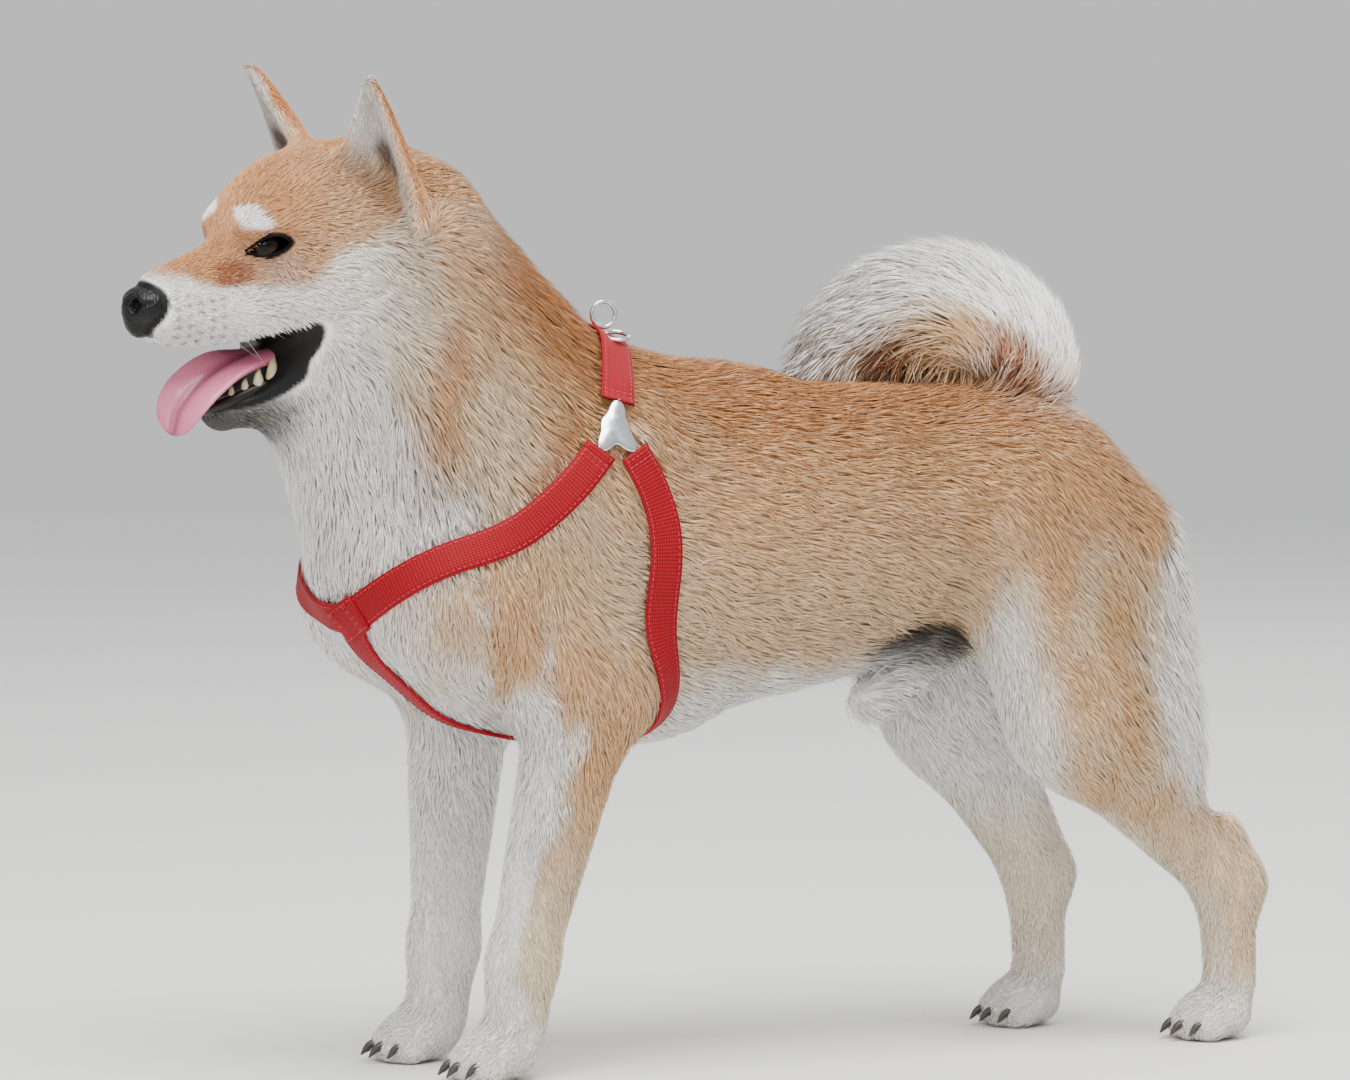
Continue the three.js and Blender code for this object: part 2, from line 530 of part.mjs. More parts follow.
// Tongue: a flat loft that leaves the mouth over the front teeth and hangs down.
const tongueLine = new THREE.CatmullRomCurve3(
  [[46, 0, -69], [60, 0.5, -72], [78, 1.5, -72], [94, 3, -73], [104, 4.5, -84], [106, 5, -104]].map((q) => new THREE.Vector3(...q)),
);
function tongue(spare) {
  const steps = 12;
  const rows = [];
  for (let i = 0; i <= steps; i++) {
    const t = i / steps;
    const middle = tongueLine.getPointAt(t).toArray();
    const tangent = tongueLine.getTangentAt(t).toArray();
    const up = unit(cross(tangent, [0, 1, 0])).map((x) => -x);
    const round = Math.sqrt(clamp(1 - ((t - 0.72) / 0.29) ** 2, 0.02, 1));
    const wide = (t < 0.72 ? 9.5 + 7 * t : 14.5 * round) + spare;
    const thick = (t < 0.72 ? 5.4 - 3.6 * t : 2.8 * Math.sqrt(round)) + spare;
    const end = i === 0 ? -spare : i === steps ? spare : 0;
    rows.push(
      Array.from({ length: 12 }, (_, j) => {
        const angle = (j / 12) * 2 * Math.PI;
        const groove = Math.sin(angle) > 0.9 ? 0.45 : 1;
        const spot = add(add(middle, mul([0, 1, 0], Math.cos(angle) * wide)), mul(up, Math.sin(angle) * thick * groove));
        return fromHead(add(spot, mul(tangent, end)));
      }),
    );
  }
  return lofted(rows);
}
// Lower teeth: two tall canines, and a row of cheek teeth that grows towards the back on each side.
const teethRow = [
  { at: [79, 8, -87], high: 13, wide: 3.2 },
  { at: [71, 11, -86], high: 7, wide: 2.8 },
  { at: [64, 13, -84], high: 8.5, wide: 3.2 },
  { at: [56.5, 15.5, -82], high: 11, wide: 3.8 },
  { at: [48.5, 18, -78], high: 13, wide: 4.4 },
];
function tooth({ at, high, wide }, side) {
  const cone = new THREE.CylinderGeometry(0.35, wide, high + 4, 6).rotateX(Math.PI / 2).translate(0, 0, (high + 4) / 2 - 4);
  const basis = new THREE.Matrix4().makeBasis(...[headU, headV, headW].map((v) => new THREE.Vector3(...v)));
  basis.setPosition(...fromHead(onSide(side, at)));
  return solidOf(cone.applyMatrix4(basis));
}
const jawBare = wholeHead.intersect(jawCell(-half));
const teeth = [1, -1].flatMap((side) => teethRow.map((t) => tooth(t, side)));
const jawMade = wasm.Manifold.union([jawBare, ...teeth]).subtract(tongue(0.5));

// A lock of coat: a flat blade with four sides that leaves the core, bends with the lie of the coat and ends in a point.
// The path gives, for a share of the lock's length, a point of the core below it, the way out and the way along.
const lockRows = [[0, 0.85], [0.55, 1], [1, 0.06]];
const sunk = 5;
function lock(path, { width, thick, lift }) {
  const rows = lockRows.map(([s, share]) => {
    const { foot, out, way } = path(s);
    const middle = add(foot, mul(out, -sunk + (sunk + lift) * (1 - (1 - s) ** 2)));
    const across = mul(unit(cross(out, way)), (width / 2) * share);
    const up = mul(out, (thick / 2) * share);
    return [add(middle, across), add(middle, up), sub(middle, across), sub(middle, up)];
  });
  return lofted(rows);
}
const random = seeded(7);
function seeded(seed) {
  return () => {
    seed = (seed * 16807) % 2147483647;
    return seed / 2147483647;
  };
}
const spread = (amount) => 1 + amount * (2 * random() - 1);
// Claws stand at the tips of the toes.
function claws(toes) {
  return toeSpread.map((across, i) => {
    const cone = new THREE.ConeGeometry(3, 11, 6).rotateZ(-Math.PI / 2 - 0.35);
    return solidOf(cone.translate(toes[0] + toeReach[i] + 9, toes[1] + across, floorAt + 6.5));
  });
}
// Rows of locks on a core: the breeches behind the thighs and the ruff under the throat.
const inset = { breeches: 11, ruff: 8 };
const breechShare = (p) => smoothstep((-222 - p[0]) / 26) * smoothstep((p[2] - 178) / 24) * smoothstep((345 - p[2]) / 24);
const ruffShare = (p) => smoothstep((p[0] - 150) / 30) * smoothstep((p[2] - 272) / 20) * smoothstep((404 - p[2]) / 20);
function smoothstep(t) {
  const c = clamp(t, 0, 1);
  return c * c * (3 - 2 * c);
}
const bodyCore = (p) => bodyForm(p) + inset.breeches * breechShare(p) + inset.ruff * ruffShare(p);
// A root is found by walking in from outside until it meets the core.
function rootFrom(p, inward) {
  let q = p;
  for (let i = 0; i < 60; i++) q = add(q, mul(inward, clamp(bodyCore(q), -4, 4) * 0.8));
  return q;
}
// The path of a lock that hangs on the body: at each step it goes back to the core's surface.
function hanging(start, inward, down, length) {
  return (s) => {
    const first = rootFrom(start, inward);
    const wayHere = (out) => unit(sub(down, mul(out, dot(down, out))));
    const ahead = add(first, mul(wayHere(gradient(bodyForm, first)), length * s));
    const outAhead = gradient(bodyForm, ahead);
    const foot = rootFrom(add(ahead, mul(outAhead, 12)), mul(outAhead, -1));
    return { foot, out: outAhead, way: wayHere(outAhead) };
  };
}
const breech = { rows: 3, across: 2, length: 54, width: 38, thick: 8 };
function breeches(side) {
  const made = [];
  for (let row = 0; row < breech.rows; row++)
    for (let k = 0; k < breech.across; k++) {
      const start = [-400, side * (18 + 28 * k + (row % 2) * 10), 318 - row * 33 + 6 * random()];
      const path = hanging(start, [1, 0, 0], [-0.12, 0.06 * side * k, -1], breech.length * spread(0.12));
      made.push(lock(path, { ...breech, lift: inset.breeches * spread(0.1) }));
    }
  return made;
}
const mane = { rows: 3, across: 4, length: 62, width: 40, thick: 7 };
function ruff() {
  const made = [];
  for (let row = 0; row < mane.rows; row++)
    for (let k = 0; k < mane.across; k++) {
      const angle = (k - (mane.across - 1) / 2) * 0.56 + (row % 2) * 0.25;
      const inward = [-Math.cos(angle), -Math.sin(angle), 0];
      const start = [190 - 120 * inward[0], -120 * inward[1], 392 - row * 32 + 6 * random()];
      const path = hanging(start, inward, [0, 0, -1], mane.length * spread(0.12));
      made.push(lock(path, { ...mane, lift: inset.ruff * spread(0.1) }));
    }
  return made;
}
const above = (z) => beyond([0, 0, z], [0, 0, 1]);
const pawTop = 44;
const kneeAt = 176;
const legParts = {};
const legsGrown = [];
for (const [name, side] of Object.entries(sides)) {
  const y = side > 0 ? [0, 130] : [-130, 0];
  legsGrown.push(legCell(side, foreOutline, foreSpan, gap), legCell(side, hindOutline, hindSpan, gap));
  const fore = legCell(side, foreOutline, foreSpan, 0);
  const hind = legCell(side, hindOutline, hindSpan, 0);
  const whole = surfaceOf(bodyForm, [20, y[0], -4], [210, y[1], 345], cells.fore).intersect(fore).subtract(neckGrown);
  legParts["foreleg_" + name] = whole.intersect(above(pawTop + half));
  const hindCore = surfaceOf(bodyCore, [-380, y[0], -4], [-140, y[1], 365], cells.hind);
  const back = fused([hindCore, ...breeches(side)]).intersect(hind);
  legParts["thigh_" + name] = back.intersect(above(kneeAt + half));
  legParts["shank_" + name] = back.intersect(above(pawTop + half)).subtract(above(kneeAt - half));
  for (const [kind, toes] of [["forepaw_", foreJoints(side, foreLean[name]).toes], ["hindpaw_", hindJoints(side, hindBack[name]).toes]]) {
    const low = [toes[0] - 36, toes[1] - 34, -4];
    const high = [toes[0] + 48, toes[1] + 34, 56];
    const foot = surfaceOf(bodyForm, low, high, cells.paw).subtract(above(pawTop - half));
    legParts[kind + name] = wasm.Manifold.union([foot, ...claws(toes)]).intersect(above(floorAt));
  }
}

// Locks and their core made one solid, without the slivers where they meet.
function fused(solids) {
  return wasm.Manifold.union(solids).simplify(0.9);
}
// The tail's brush: rings of locks from a core half as thick as the brush. They bend with the tail.
const tailCore = (t) => 0.66 + 0.3 * smoothstep((t - 0.62) / 0.3);
const brush = { rings: 5, around: 4, length: 74, width: 44, thick: 9 };
function tailSpot(t, angle) {
  const way = tailLine.getTangentAt(clamp(t, 0, 1)).toArray();
  const right = unit(cross(way, [0, 1, 0]));
  const out = add(mul(right, Math.cos(angle)), mul(cross(way, right), Math.sin(angle)));
  const centre = tailLine.getPointAt(clamp(t, 0, 1)).toArray();
  return { foot: add(centre, mul(out, tailRadius(t) * tailCore(t))), out, way };
}
function tailLocks(from, to) {
  const made = [];
  const tailLength = tailLine.getLength();
  for (let i = 0; i < brush.rings; i++) {
    const t = 0.04 + (0.66 * i) / (brush.rings - 1);
    if (t < from - 0.12 || t >= to) continue;
    for (let j = 0; j < brush.around; j++) {
      const angle = ((j + 0.5 * (i % 2) + 0.2 * random()) / brush.around) * 2 * Math.PI;
      const length = brush.length * spread(0.12);
      const lift = tailRadius(t) * (1 - tailCore(t)) * spread(0.1);
      made.push(lock((s) => tailSpot(t + (s * length) / tailLength, angle), { ...brush, lift }));
    }
  }
  return made;
}

// Tail in three lengths, each with flat ends.
const tailCuts = [0, 0.36, 0.68, 1];
const tailNames = ["tail_root", "tail_middle", "tail_tip"];
const torsoBox = [[-330, -130, 150], [260, 130, 430]];
const torsoRoom = surfaceOf((p) => bodyForm(p) - 3, ...torsoBox, cells.torso);
const tailParts = {};
tailNames.forEach((name, n) => {
  const from = tailCuts[n];
  const to = tailCuts[n + 1];
  const near = (i) => i / tailSteps > from - 0.1 && i / tailSteps < to + 0.1;
  const thick = (t) => tailRadius(t) * tailCore(t);
  const spots = tailPoints.map((c, i) => [c, thick(i / tailSteps)]).filter((_, i) => near(i));
  const form = (p) => spots.reduce((d, [c, r]) => smoothMin(d, Math.hypot(...sub(p, c)) - r, 3), 1e3);
  const low = [0, 1, 2].map((m) => Math.min(...spots.map(([c, r]) => c[m] - r)) - cells.tail * 1.5);
  const high = [0, 1, 2].map((m) => Math.max(...spots.map(([c, r]) => c[m] + r)) + cells.tail * 1.5);
  let made = fused([surfaceOf(form, low, high, cells.tail), ...tailLocks(from, to)]);
  const cutAt = (t, way) => beyond(tailLine.getPointAt(t).toArray(), mul(tailLine.getTangentAt(t).toArray(), way), half);
  if (n > 0) made = made.intersect(cutAt(from, 1));
  if (n < 2) made = made.intersect(cutAt(to, -1));
  tailParts[name] = made.subtract(torsoRoom);
});

const trunkMade = surfaceOf(bodyCore, ...torsoBox, cells.torso);
place("torso", grooved(wasm.Manifold.difference([trunkMade, neckGrown, ...legsGrown])), redCoat);
const neckBox = [[20, -120, 200], [300, 120, 560]];
const neckMade = fused([surfaceOf(bodyCore, ...neckBox, cells.neck), ...ruff()]).intersect(neckShare);
place("neck", grooved(wasm.Manifold.difference([neckMade, ...legsGrown])), redCoat);
place("head", headMade, redCoat);
place("lower_jaw", jawMade, creamCoat);
place("tongue", tongue(0), tongueSkin);
place("nose", noseSolid, noseLeather);
for (const [name, side] of Object.entries(sides)) {
  place("eye_" + name, ball(eyeCentre(side), eyeRadius), eyeGloss);
  const ear = surfaceOf(bodyForm, ...earBox(side), cells.ear);
  place("ear_" + name, ear.intersect(earCell(side, half)), redCoat);
}
for (const [name, made] of Object.entries(legParts)) place(name, name.startsWith("foreleg") ? grooved(made) : made, redCoat);
for (const [name, made] of Object.entries(tailParts)) place(name, made, creamCoat);
for (const [name, made] of Object.entries(straps)) place(name, made, webbing);
for (const [name, made] of Object.entries(plates)) place(name, made, steel);
place("lead_ring", ring, steel);

export default dog;
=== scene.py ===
"""A life-size shiba inu in a red walking harness: skin, coat, face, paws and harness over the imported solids.

All shapes are worked out in millimetres in the drawing frame of the solids, with the nose towards +X, the
dog's left towards +Y and up towards +Z, and are moved and scaled to metres when a mesh is made.
"""
import math
from functools import reduce

import bpy
import numpy as np
from bpy.props import FloatProperty, FloatVectorProperty, PointerProperty
from bpy.types import Operator, Panel, PropertyGroup
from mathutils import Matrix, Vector


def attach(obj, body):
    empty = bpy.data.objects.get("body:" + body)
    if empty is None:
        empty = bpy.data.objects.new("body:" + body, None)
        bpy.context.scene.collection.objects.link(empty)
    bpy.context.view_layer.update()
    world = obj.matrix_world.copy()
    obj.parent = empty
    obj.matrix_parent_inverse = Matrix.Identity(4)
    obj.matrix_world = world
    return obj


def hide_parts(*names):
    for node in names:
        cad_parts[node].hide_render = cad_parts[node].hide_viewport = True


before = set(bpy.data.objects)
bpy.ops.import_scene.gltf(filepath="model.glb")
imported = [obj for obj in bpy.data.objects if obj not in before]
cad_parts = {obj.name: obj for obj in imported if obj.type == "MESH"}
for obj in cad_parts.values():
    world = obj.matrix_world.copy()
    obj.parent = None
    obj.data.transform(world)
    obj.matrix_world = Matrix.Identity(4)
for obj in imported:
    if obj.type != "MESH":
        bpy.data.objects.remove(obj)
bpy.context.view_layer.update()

bl_info = {
    "name": "Shiba inu in a walking harness",
    "version": (1, 0, 0),
    "blender": (4, 5, 0),
    "location": "View3D > Sidebar > Dog",
    "description": "Builds a standing shiba inu with a full coat, in a red harness",
    "category": "Add Mesh",
}

MM = 0.001
FLOOR_AT = 8.0
SHIFT = np.array([-1.2, 0.0, -FLOOR_AT])
SEED = 11
FLESH = [
    "torso", "neck", "head", "lower_jaw", "ear_left", "ear_right", "tail_root", "tail_middle", "tail_tip",
    "foreleg_left", "foreleg_right", "forepaw_left", "forepaw_right", "thigh_left", "thigh_right",
    "shank_left", "shank_right", "hindpaw_left", "hindpaw_right",
]


def linear(hex_colour):
    """Turns an sRGB hex colour into linear red, green and blue."""
    value = np.array([int(hex_colour[i:i + 2], 16) for i in (1, 3, 5)]) / 255.0
    return np.where(value <= 0.04045, value / 12.92, ((value + 0.055) / 1.055) ** 2.4)


def soft(x, low, high):
    """Smooth step: 0 below low, 1 above high, and 3t^2 - 2t^3 between them."""
    t = np.clip((x - low) / (high - low), 0.0, 1.0)
    return t * t * (3.0 - 2.0 * t)


def unit(v):
    """Each vector divided by its own length."""
    return v / np.maximum(np.linalg.norm(v, axis=-1, keepdims=True), 1e-9)


def ripple(p, wavelength, seed=0):
    """A smooth random value near -1 to 1: the mean of five sine waves in random directions."""
    rng = np.random.default_rng(SEED + seed)
    total = np.zeros(len(p))
    for _ in range(5):
        way = unit(rng.normal(size=3))
        total += np.sin(p @ way * (2 * math.pi / (wavelength * rng.uniform(0.7, 1.5))) + rng.uniform(0, 6.3))
    return total / 2.4


# Form of the body: distances, negative inside, for an array of points.

def bone(a, b, ra, rb, wide=1.0):
    """A capsule from a to b whose radius runs evenly from ra to rb; wide stretches it sideways."""
    a = np.array(a, float)
    squeeze = np.array([1.0, 1.0 / wide, 1.0])
    ab = (np.array(b, float) - a) * squeeze
    length2 = ab @ ab

    def field(p):
        q = (p - a) * squeeze
        t = np.clip(q @ ab / length2, 0.0, 1.0)
        return np.linalg.norm(q - t[:, None] * ab, axis=1) - (ra + (rb - ra) * t)
    return field


def mass(centre, radii, pitch=0.0):
    """An ellipsoid tipped by pitch degrees about the sideways axis, with k0 (k0 - 1) / k1 as its distance."""
    centre = np.array(centre, float)
    radii = np.array(radii, float)
    cos, sin = math.cos(math.radians(pitch)), math.sin(math.radians(pitch))
    turn = np.array([[cos, 0, -sin], [0, 1, 0], [sin, 0, cos]])

    def field(p):
        q = (p - centre) @ turn / radii
        k0 = np.linalg.norm(q, axis=1)
        k1 = np.linalg.norm(q / radii, axis=1)
        return k0 * (k0 - 1.0) / np.maximum(k1, 1e-9)
    return field


def smooth_min(a, b, k):
    """The lesser of two distances, with a round of k millimetres where they are alike."""
    h = np.maximum(k - np.abs(a - b), 0.0) / k
    return np.minimum(a, b) - h * h * k / 4.0


def blend(k, *fields):
    return lambda p: reduce(lambda d, f: smooth_min(d, f(p), k), fields[1:], fields[0](p))


def carve(k, field, *cutters):
    return lambda p: reduce(lambda d, f: -smooth_min(-d, f(p), k), cutters, field(p))


def mirrored(field):
    return lambda p: field(np.column_stack([p[:, 0], np.abs(p[:, 1]), p[:, 2]]))


HEAD_CENTRE = np.array([210.0, 0.0, 467.0])
YAW, ROLL = math.radians(7), math.radians(3)
HEAD_U = np.array([math.cos(YAW), math.sin(YAW), 0.0])
HEAD_LEFT = np.array([-math.sin(YAW), math.cos(YAW), 0.0])
HEAD_V = HEAD_LEFT * math.cos(ROLL) + np.array([0.0, 0.0, -math.sin(ROLL)])
HEAD_W = HEAD_LEFT * math.sin(ROLL) + np.array([0.0, 0.0, math.cos(ROLL)])
HEAD_TURN = np.column_stack([HEAD_U, HEAD_V, HEAD_W])


def to_head(p):
    """Points in the head's own frame: u forward, v to the left, w up."""
    return (p - HEAD_CENTRE) @ HEAD_TURN


def from_head(q):
    return np.asarray(q, float) @ HEAD_TURN.T + HEAD_CENTRE


def turned(q):
    return np.asarray(q, float) @ HEAD_TURN.T


# Millimetres of rounding where parts meet
EAR_ROUND, TRUNK_ROUND, LEG_ROUND, TAIL_ROUND = 11, 32, 9, 4

# Head
upper_face = mirrored(blend(
    14,
    mass([-2, 0, 6], [66, 54, 45], -6),
    mass([34, 0, 14], [38, 36, 28], -20),
    bone([50, 0, -19], [106, 0, -33.5], 27, 17.5, 0.95),
    bone([48, 15, -42], [103, 8, -46], 17, 11.5),
    mass([-2, 34, -36], [52, 31, 40], 20),
    mass([54, 23, 5], [15, 13, 9], 10),
    mass([-34, 38, 6], [30, 26, 36]),
))
lower_face = mirrored(blend(
    12,
    bone([8, 0, -64], [69, 0, -92], 26, 12.5, 1.1),
    bone([0, 30, -58], [60, 11, -86], 19, 9.5),
))
MOUTH_CORNER = 37.0
throat = bone([4, 0, -52], [-30, 0, -40], 46, 60)


def slope_above(q, at, up):
    up = unit(np.array(up, float))
    return (q - np.array(at, float)) @ up


def mouth_wedge(q):
    """The open mouth: below the upper lip's two planes, above the lower lip's two, in front of the corner."""
    upper_lip = [75, 0, -59.5]
    roof = smooth_min(slope_above(q, upper_lip, [0.02, 0, 1]), slope_above(q, upper_lip, [0.45, 0, 1]), 6)
    rear, front = slope_above(q, [38, 0, -64], [1.07, 0, 1]), slope_above(q, [53, 0, -81], [0.22, 0, 1])
    gape = -smooth_min(-roof, smooth_min(rear, front, 8), 5)
    return -smooth_min(-gape, q[:, 0] - MOUTH_CORNER, 10)


EAR_BASE, EAR_TIP = np.array([-6.0, 42, 27]), np.array([26.0, 70, 87])
EAR_LENGTH = float(np.linalg.norm(EAR_TIP - EAR_BASE))
EAR_AXIS = (EAR_TIP - EAR_BASE) / EAR_LENGTH
EAR_ACROSS = unit(np.cross(EAR_AXIS, unit(np.array([0.95, 0.27, -0.2]))))
EAR_FRONT = np.cross(EAR_ACROSS, EAR_AXIS)


def ear_half_width(t):
    return 32.5 * t ** 0.9 + 1.6


def ear_bend(s, f):
    """How far a point is in front of the bent middle of the ear's shell."""
    return f - 0.012 * s * s + 6


def ear_place(q):
    """Across, forward and along the left ear, the last from 0 at its base to 1 at its tip."""
    r = q - EAR_BASE
    return r @ EAR_ACROSS, r @ EAR_FRONT, r @ EAR_AXIS / EAR_LENGTH


@mirrored
def ear_form(q):
    """A triangular shell bent into a cup: its sides come forward with the square of the way across."""
    s, f, t = ear_place(q)
    deep = np.abs(ear_bend(s, f)) - (6.5 - 2.5 * np.clip(t, 0, 1))
    long = np.maximum((t - 1) * EAR_LENGTH, (-t - 0.15) * EAR_LENGTH)
    return -smooth_min(ear_half_width(np.clip(1 - t, 0, 1.6)) - np.abs(s), -np.maximum(deep, long), 7)


head_bare = carve(5, blend(12, upper_face, lower_face, throat), mouth_wedge)
head_form = blend(EAR_ROUND, head_bare, ear_form)

# Neck and trunk
neck_form = blend(
    TRUNK_ROUND,
    bone([104, 0, 324], [196, 0, 440], 84, 70, 0.88),
    bone([70, 0, 372], [150, 0, 440], 30, 38, 0.85),
    bone([196, 0, 376], [174, 0, 300], 52, 52, 0.95),
)
trunk_only = blend(
    TRUNK_ROUND,
    mass([60, 0, 292], [128, 78, 98], -8),
    mass([-25, 0, 298], [125, 76, 90], 4),
    mass([-125, 0, 308], [95, 62, 74], 2),
    mass([-190, 0, 318], [72, 62, 60], -14),
    mass([168, 0, 282], [42, 52, 48], 20),
    bone([130, 0, 240], [30, 0, 225], 38, 36, 1.1),
    bone([34, 0, 350], [-20, 0, 348], 40, 38, 0.95),
)
sheath = bone([-152, 0, 236], [-110, 0, 205], 17, 16)
LEG_SIDE = 47.0
TOE_SPREAD = [-15.5, -6, 6, 15.5]
TOE_REACH = [18, 25, 25, 18]


def at(point, *step):
    return list(np.array(point, float) + np.array(step, float))


def fore_joints(side, elbow, wrist):
    return {
        "shoulder": [150 + 0.5 * elbow, side * 46, 268],
        "elbow": [78 + elbow, side * 52, 220],
        "wrist": [108 + wrist, side * LEG_SIDE, 72],
        "toes": [116 + wrist, side * LEG_SIDE, 28],
    }


def foreleg(side, j):
    blade = bone([62, side * 42, 345], j["shoulder"], 34, 44, 0.8)
    upper = blend(16, blade, bone(j["shoulder"], j["elbow"], 40, 36, 0.85))
    lower = blend(
        12,
        bone(at(j["elbow"], 6, 0, -2), j["wrist"], 31, 18.5, 0.86),
        bone(at(j["elbow"], -12, 0, 8), at(j["elbow"], -16, 0, -6), 14, 10),
        bone(j["wrist"], at(j["toes"], -3, 0, 6), 19, 18),
    )
    return blend(16, upper, lower)


def hind_joints(side, back):
    return {
        "hip": [-196, side * 36, 300],
        "knee": [-186 - 0.4 * back, side * 52, 196],
        "hock": [-240 - back, side * 49, 94],
        "toes": [-240 - back, side * 49, 30],
    }


def hindleg(side, back, j):
    thigh = blend(
        26,
        bone(j["hip"], j["knee"], 60, 40, 0.72),
        bone([-232 - 0.2 * back, side * 38, 285], at(j["knee"], -44 - 0.15 * back, 0, -18), 42, 26, 0.75),
        bone(j["knee"], j["hock"], 36, 16, 0.8),
    )
    heel = bone(at(j["hock"], 0, 0, 34), at(j["hock"], -12, 0, 2), 9, 10.5)
    return blend(16, thigh, heel, bone(j["hock"], at(j["toes"], -2, 0, 10), 17, 15.5, 0.95))


def paw(toes):
    ground = [toes[0], toes[1], FLOOR_AT]
    digits = [
        bone(at(ground, 10, across * 0.75, 15), at(ground, reach, across, 8.5), 9, 8.6)
        for across, reach in zip(TOE_SPREAD, TOE_REACH)
    ]
    return blend(7, mass(at(ground, 8, 0, 14), [22, 20, 16]), *digits)


HIND_BACK = {1: 72, -1: 0}
FORE = {1: fore_joints(1, 4, 14), -1: fore_joints(-1, 34, 22)}
HIND = {side: hind_joints(side, back) for side, back in HIND_BACK.items()}
FORE_FIELDS = {side: (foreleg(side, j), paw(j["toes"])) for side, j in FORE.items()}
HIND_FIELDS = {side: (hindleg(side, HIND_BACK[side], j), paw(j["toes"])) for side, j in HIND.items()}
fore_form = blend(LEG_ROUND, *FORE_FIELDS[1], *FORE_FIELDS[-1])
hind_form = blend(LEG_ROUND, *HIND_FIELDS[1], *HIND_FIELDS[-1])
trunk_form = blend(TRUNK_ROUND, neck_form, trunk_only)


def standing(p, trunk, legs, head):
    """Trunk, legs and head as one body, cut flat at the floor."""
    torso = smooth_min(trunk, sheath(p), 12)
    whole = smooth_min(smooth_min(torso, legs, 22), head, 26)
    return np.maximum(whole, FLOOR_AT - p[:, 2])


def body_form(p):
    """The whole body without the tail."""
    legs = smooth_min(fore_form(p), hind_form(p), LEG_ROUND)
    return standing(p, trunk_form(p), legs, head_form(to_head(p)))


def catmull(points, count):
    """Points spaced evenly along a Catmull-Rom curve through the given ones, and its unit tangents."""
    pts = np.array(points, float)
    pts = np.vstack([2 * pts[0] - pts[1], pts, 2 * pts[-1] - pts[-2]])
    fine = np.linspace(0, len(pts) - 3 - 1e-9, 60 * len(pts))
    i = fine.astype(int)
    t = (fine - i)[:, None]
    p0, p1, p2, p3 = (pts[i + n] for n in range(4))
    square, cube = 2 * p0 - 5 * p1 + 4 * p2 - p3, 3 * p1 - p0 - 3 * p2 + p3
    curve = 0.5 * (2 * p1 + (p2 - p0) * t + square * t ** 2 + cube * t ** 3)
    run = np.concatenate([[0], np.cumsum(np.linalg.norm(np.diff(curve, axis=0), axis=1))])
    even = np.linspace(0, run[-1], count)
    line = np.column_stack([np.interp(even, run, curve[:, c]) for c in range(3)])
    return line, unit(np.gradient(line, axis=0))


TAIL_KNOTS = [
    [-200, 0, 350], [-204, -3, 382], [-190, -9, 409], [-158, -18, 423], [-124, -28, 415], [-103, -38, 394],
    [-98, -47, 372],
]
TAIL_BALLS = 49
TAIL_LINE, TAIL_WAY = catmull(TAIL_KNOTS, TAIL_BALLS)
TAIL_T = np.linspace(0, 1, TAIL_BALLS)
TAIL_BULGE = 11 * np.sin(math.pi * np.minimum(1, TAIL_T * 1.25))
TAIL_RADIUS = 26 + TAIL_BULGE - 9.6 * np.maximum(0, TAIL_T - 0.8) / 0.2


def tail_form(p):
    """The tail's brush: the nearest of the balls strung along its line."""
    best = np.full(len(p), 1e3)
    for centre, radius in zip(TAIL_LINE, TAIL_RADIUS):
        best = smooth_min(best, np.linalg.norm(p - centre, axis=1) - radius, 3)
    return best


def whole_form(p):
    return smooth_min(body_form(p), tail_form(p), TAIL_ROUND)


def slope(field, p, step=0.6):
    """Gradient of a field by central differences."""
    parts = []
    for axis in range(3):
        move = np.zeros(3)
        move[axis] = step
        parts.append((field(p + move) - field(p - move)) / (2 * step))
    return np.column_stack(parts)


# Surfaces from fields

# Blocks whose value is under this many of their own widths are worked out finely; a value just outside.
NEAR_ENOUGH, OUTSIDE = 1.3, 0.001


def stretched(values, fine_counts):
    """Values on a coarse grid, carried to a finer one by straight lines along each axis in turn."""
    for axis, count in enumerate(fine_counts):
        coarse = values.shape[axis]
        spots = np.linspace(0, coarse - 1, count)
        low = np.minimum(spots.astype(int), coarse - 2)
        share = (spots - low).reshape([-1 if a == axis else 1 for a in range(3)])
        values = np.take(values, low, axis) * (1 - share) + np.take(values, low + 1, axis) * share
    return values


def on_points(field, p, batch=300000):
    return np.concatenate([field(p[i:i + batch]) for i in range(0, len(p), batch)])


def along(axis, piece):
    """An index that takes a place or slice along one axis of three."""
    return tuple(piece if a == axis else slice(None) for a in range(3))


def shifted(where, axes, steps, cells):
    """Cells some steps back along two axes, and which of them are in the grid."""
    cell_at = where.copy()
    for axis, step in zip(axes, steps):
        cell_at[:, axis] -= step
    return cell_at, ((cell_at >= 0) & (cell_at < cells)).all(1)


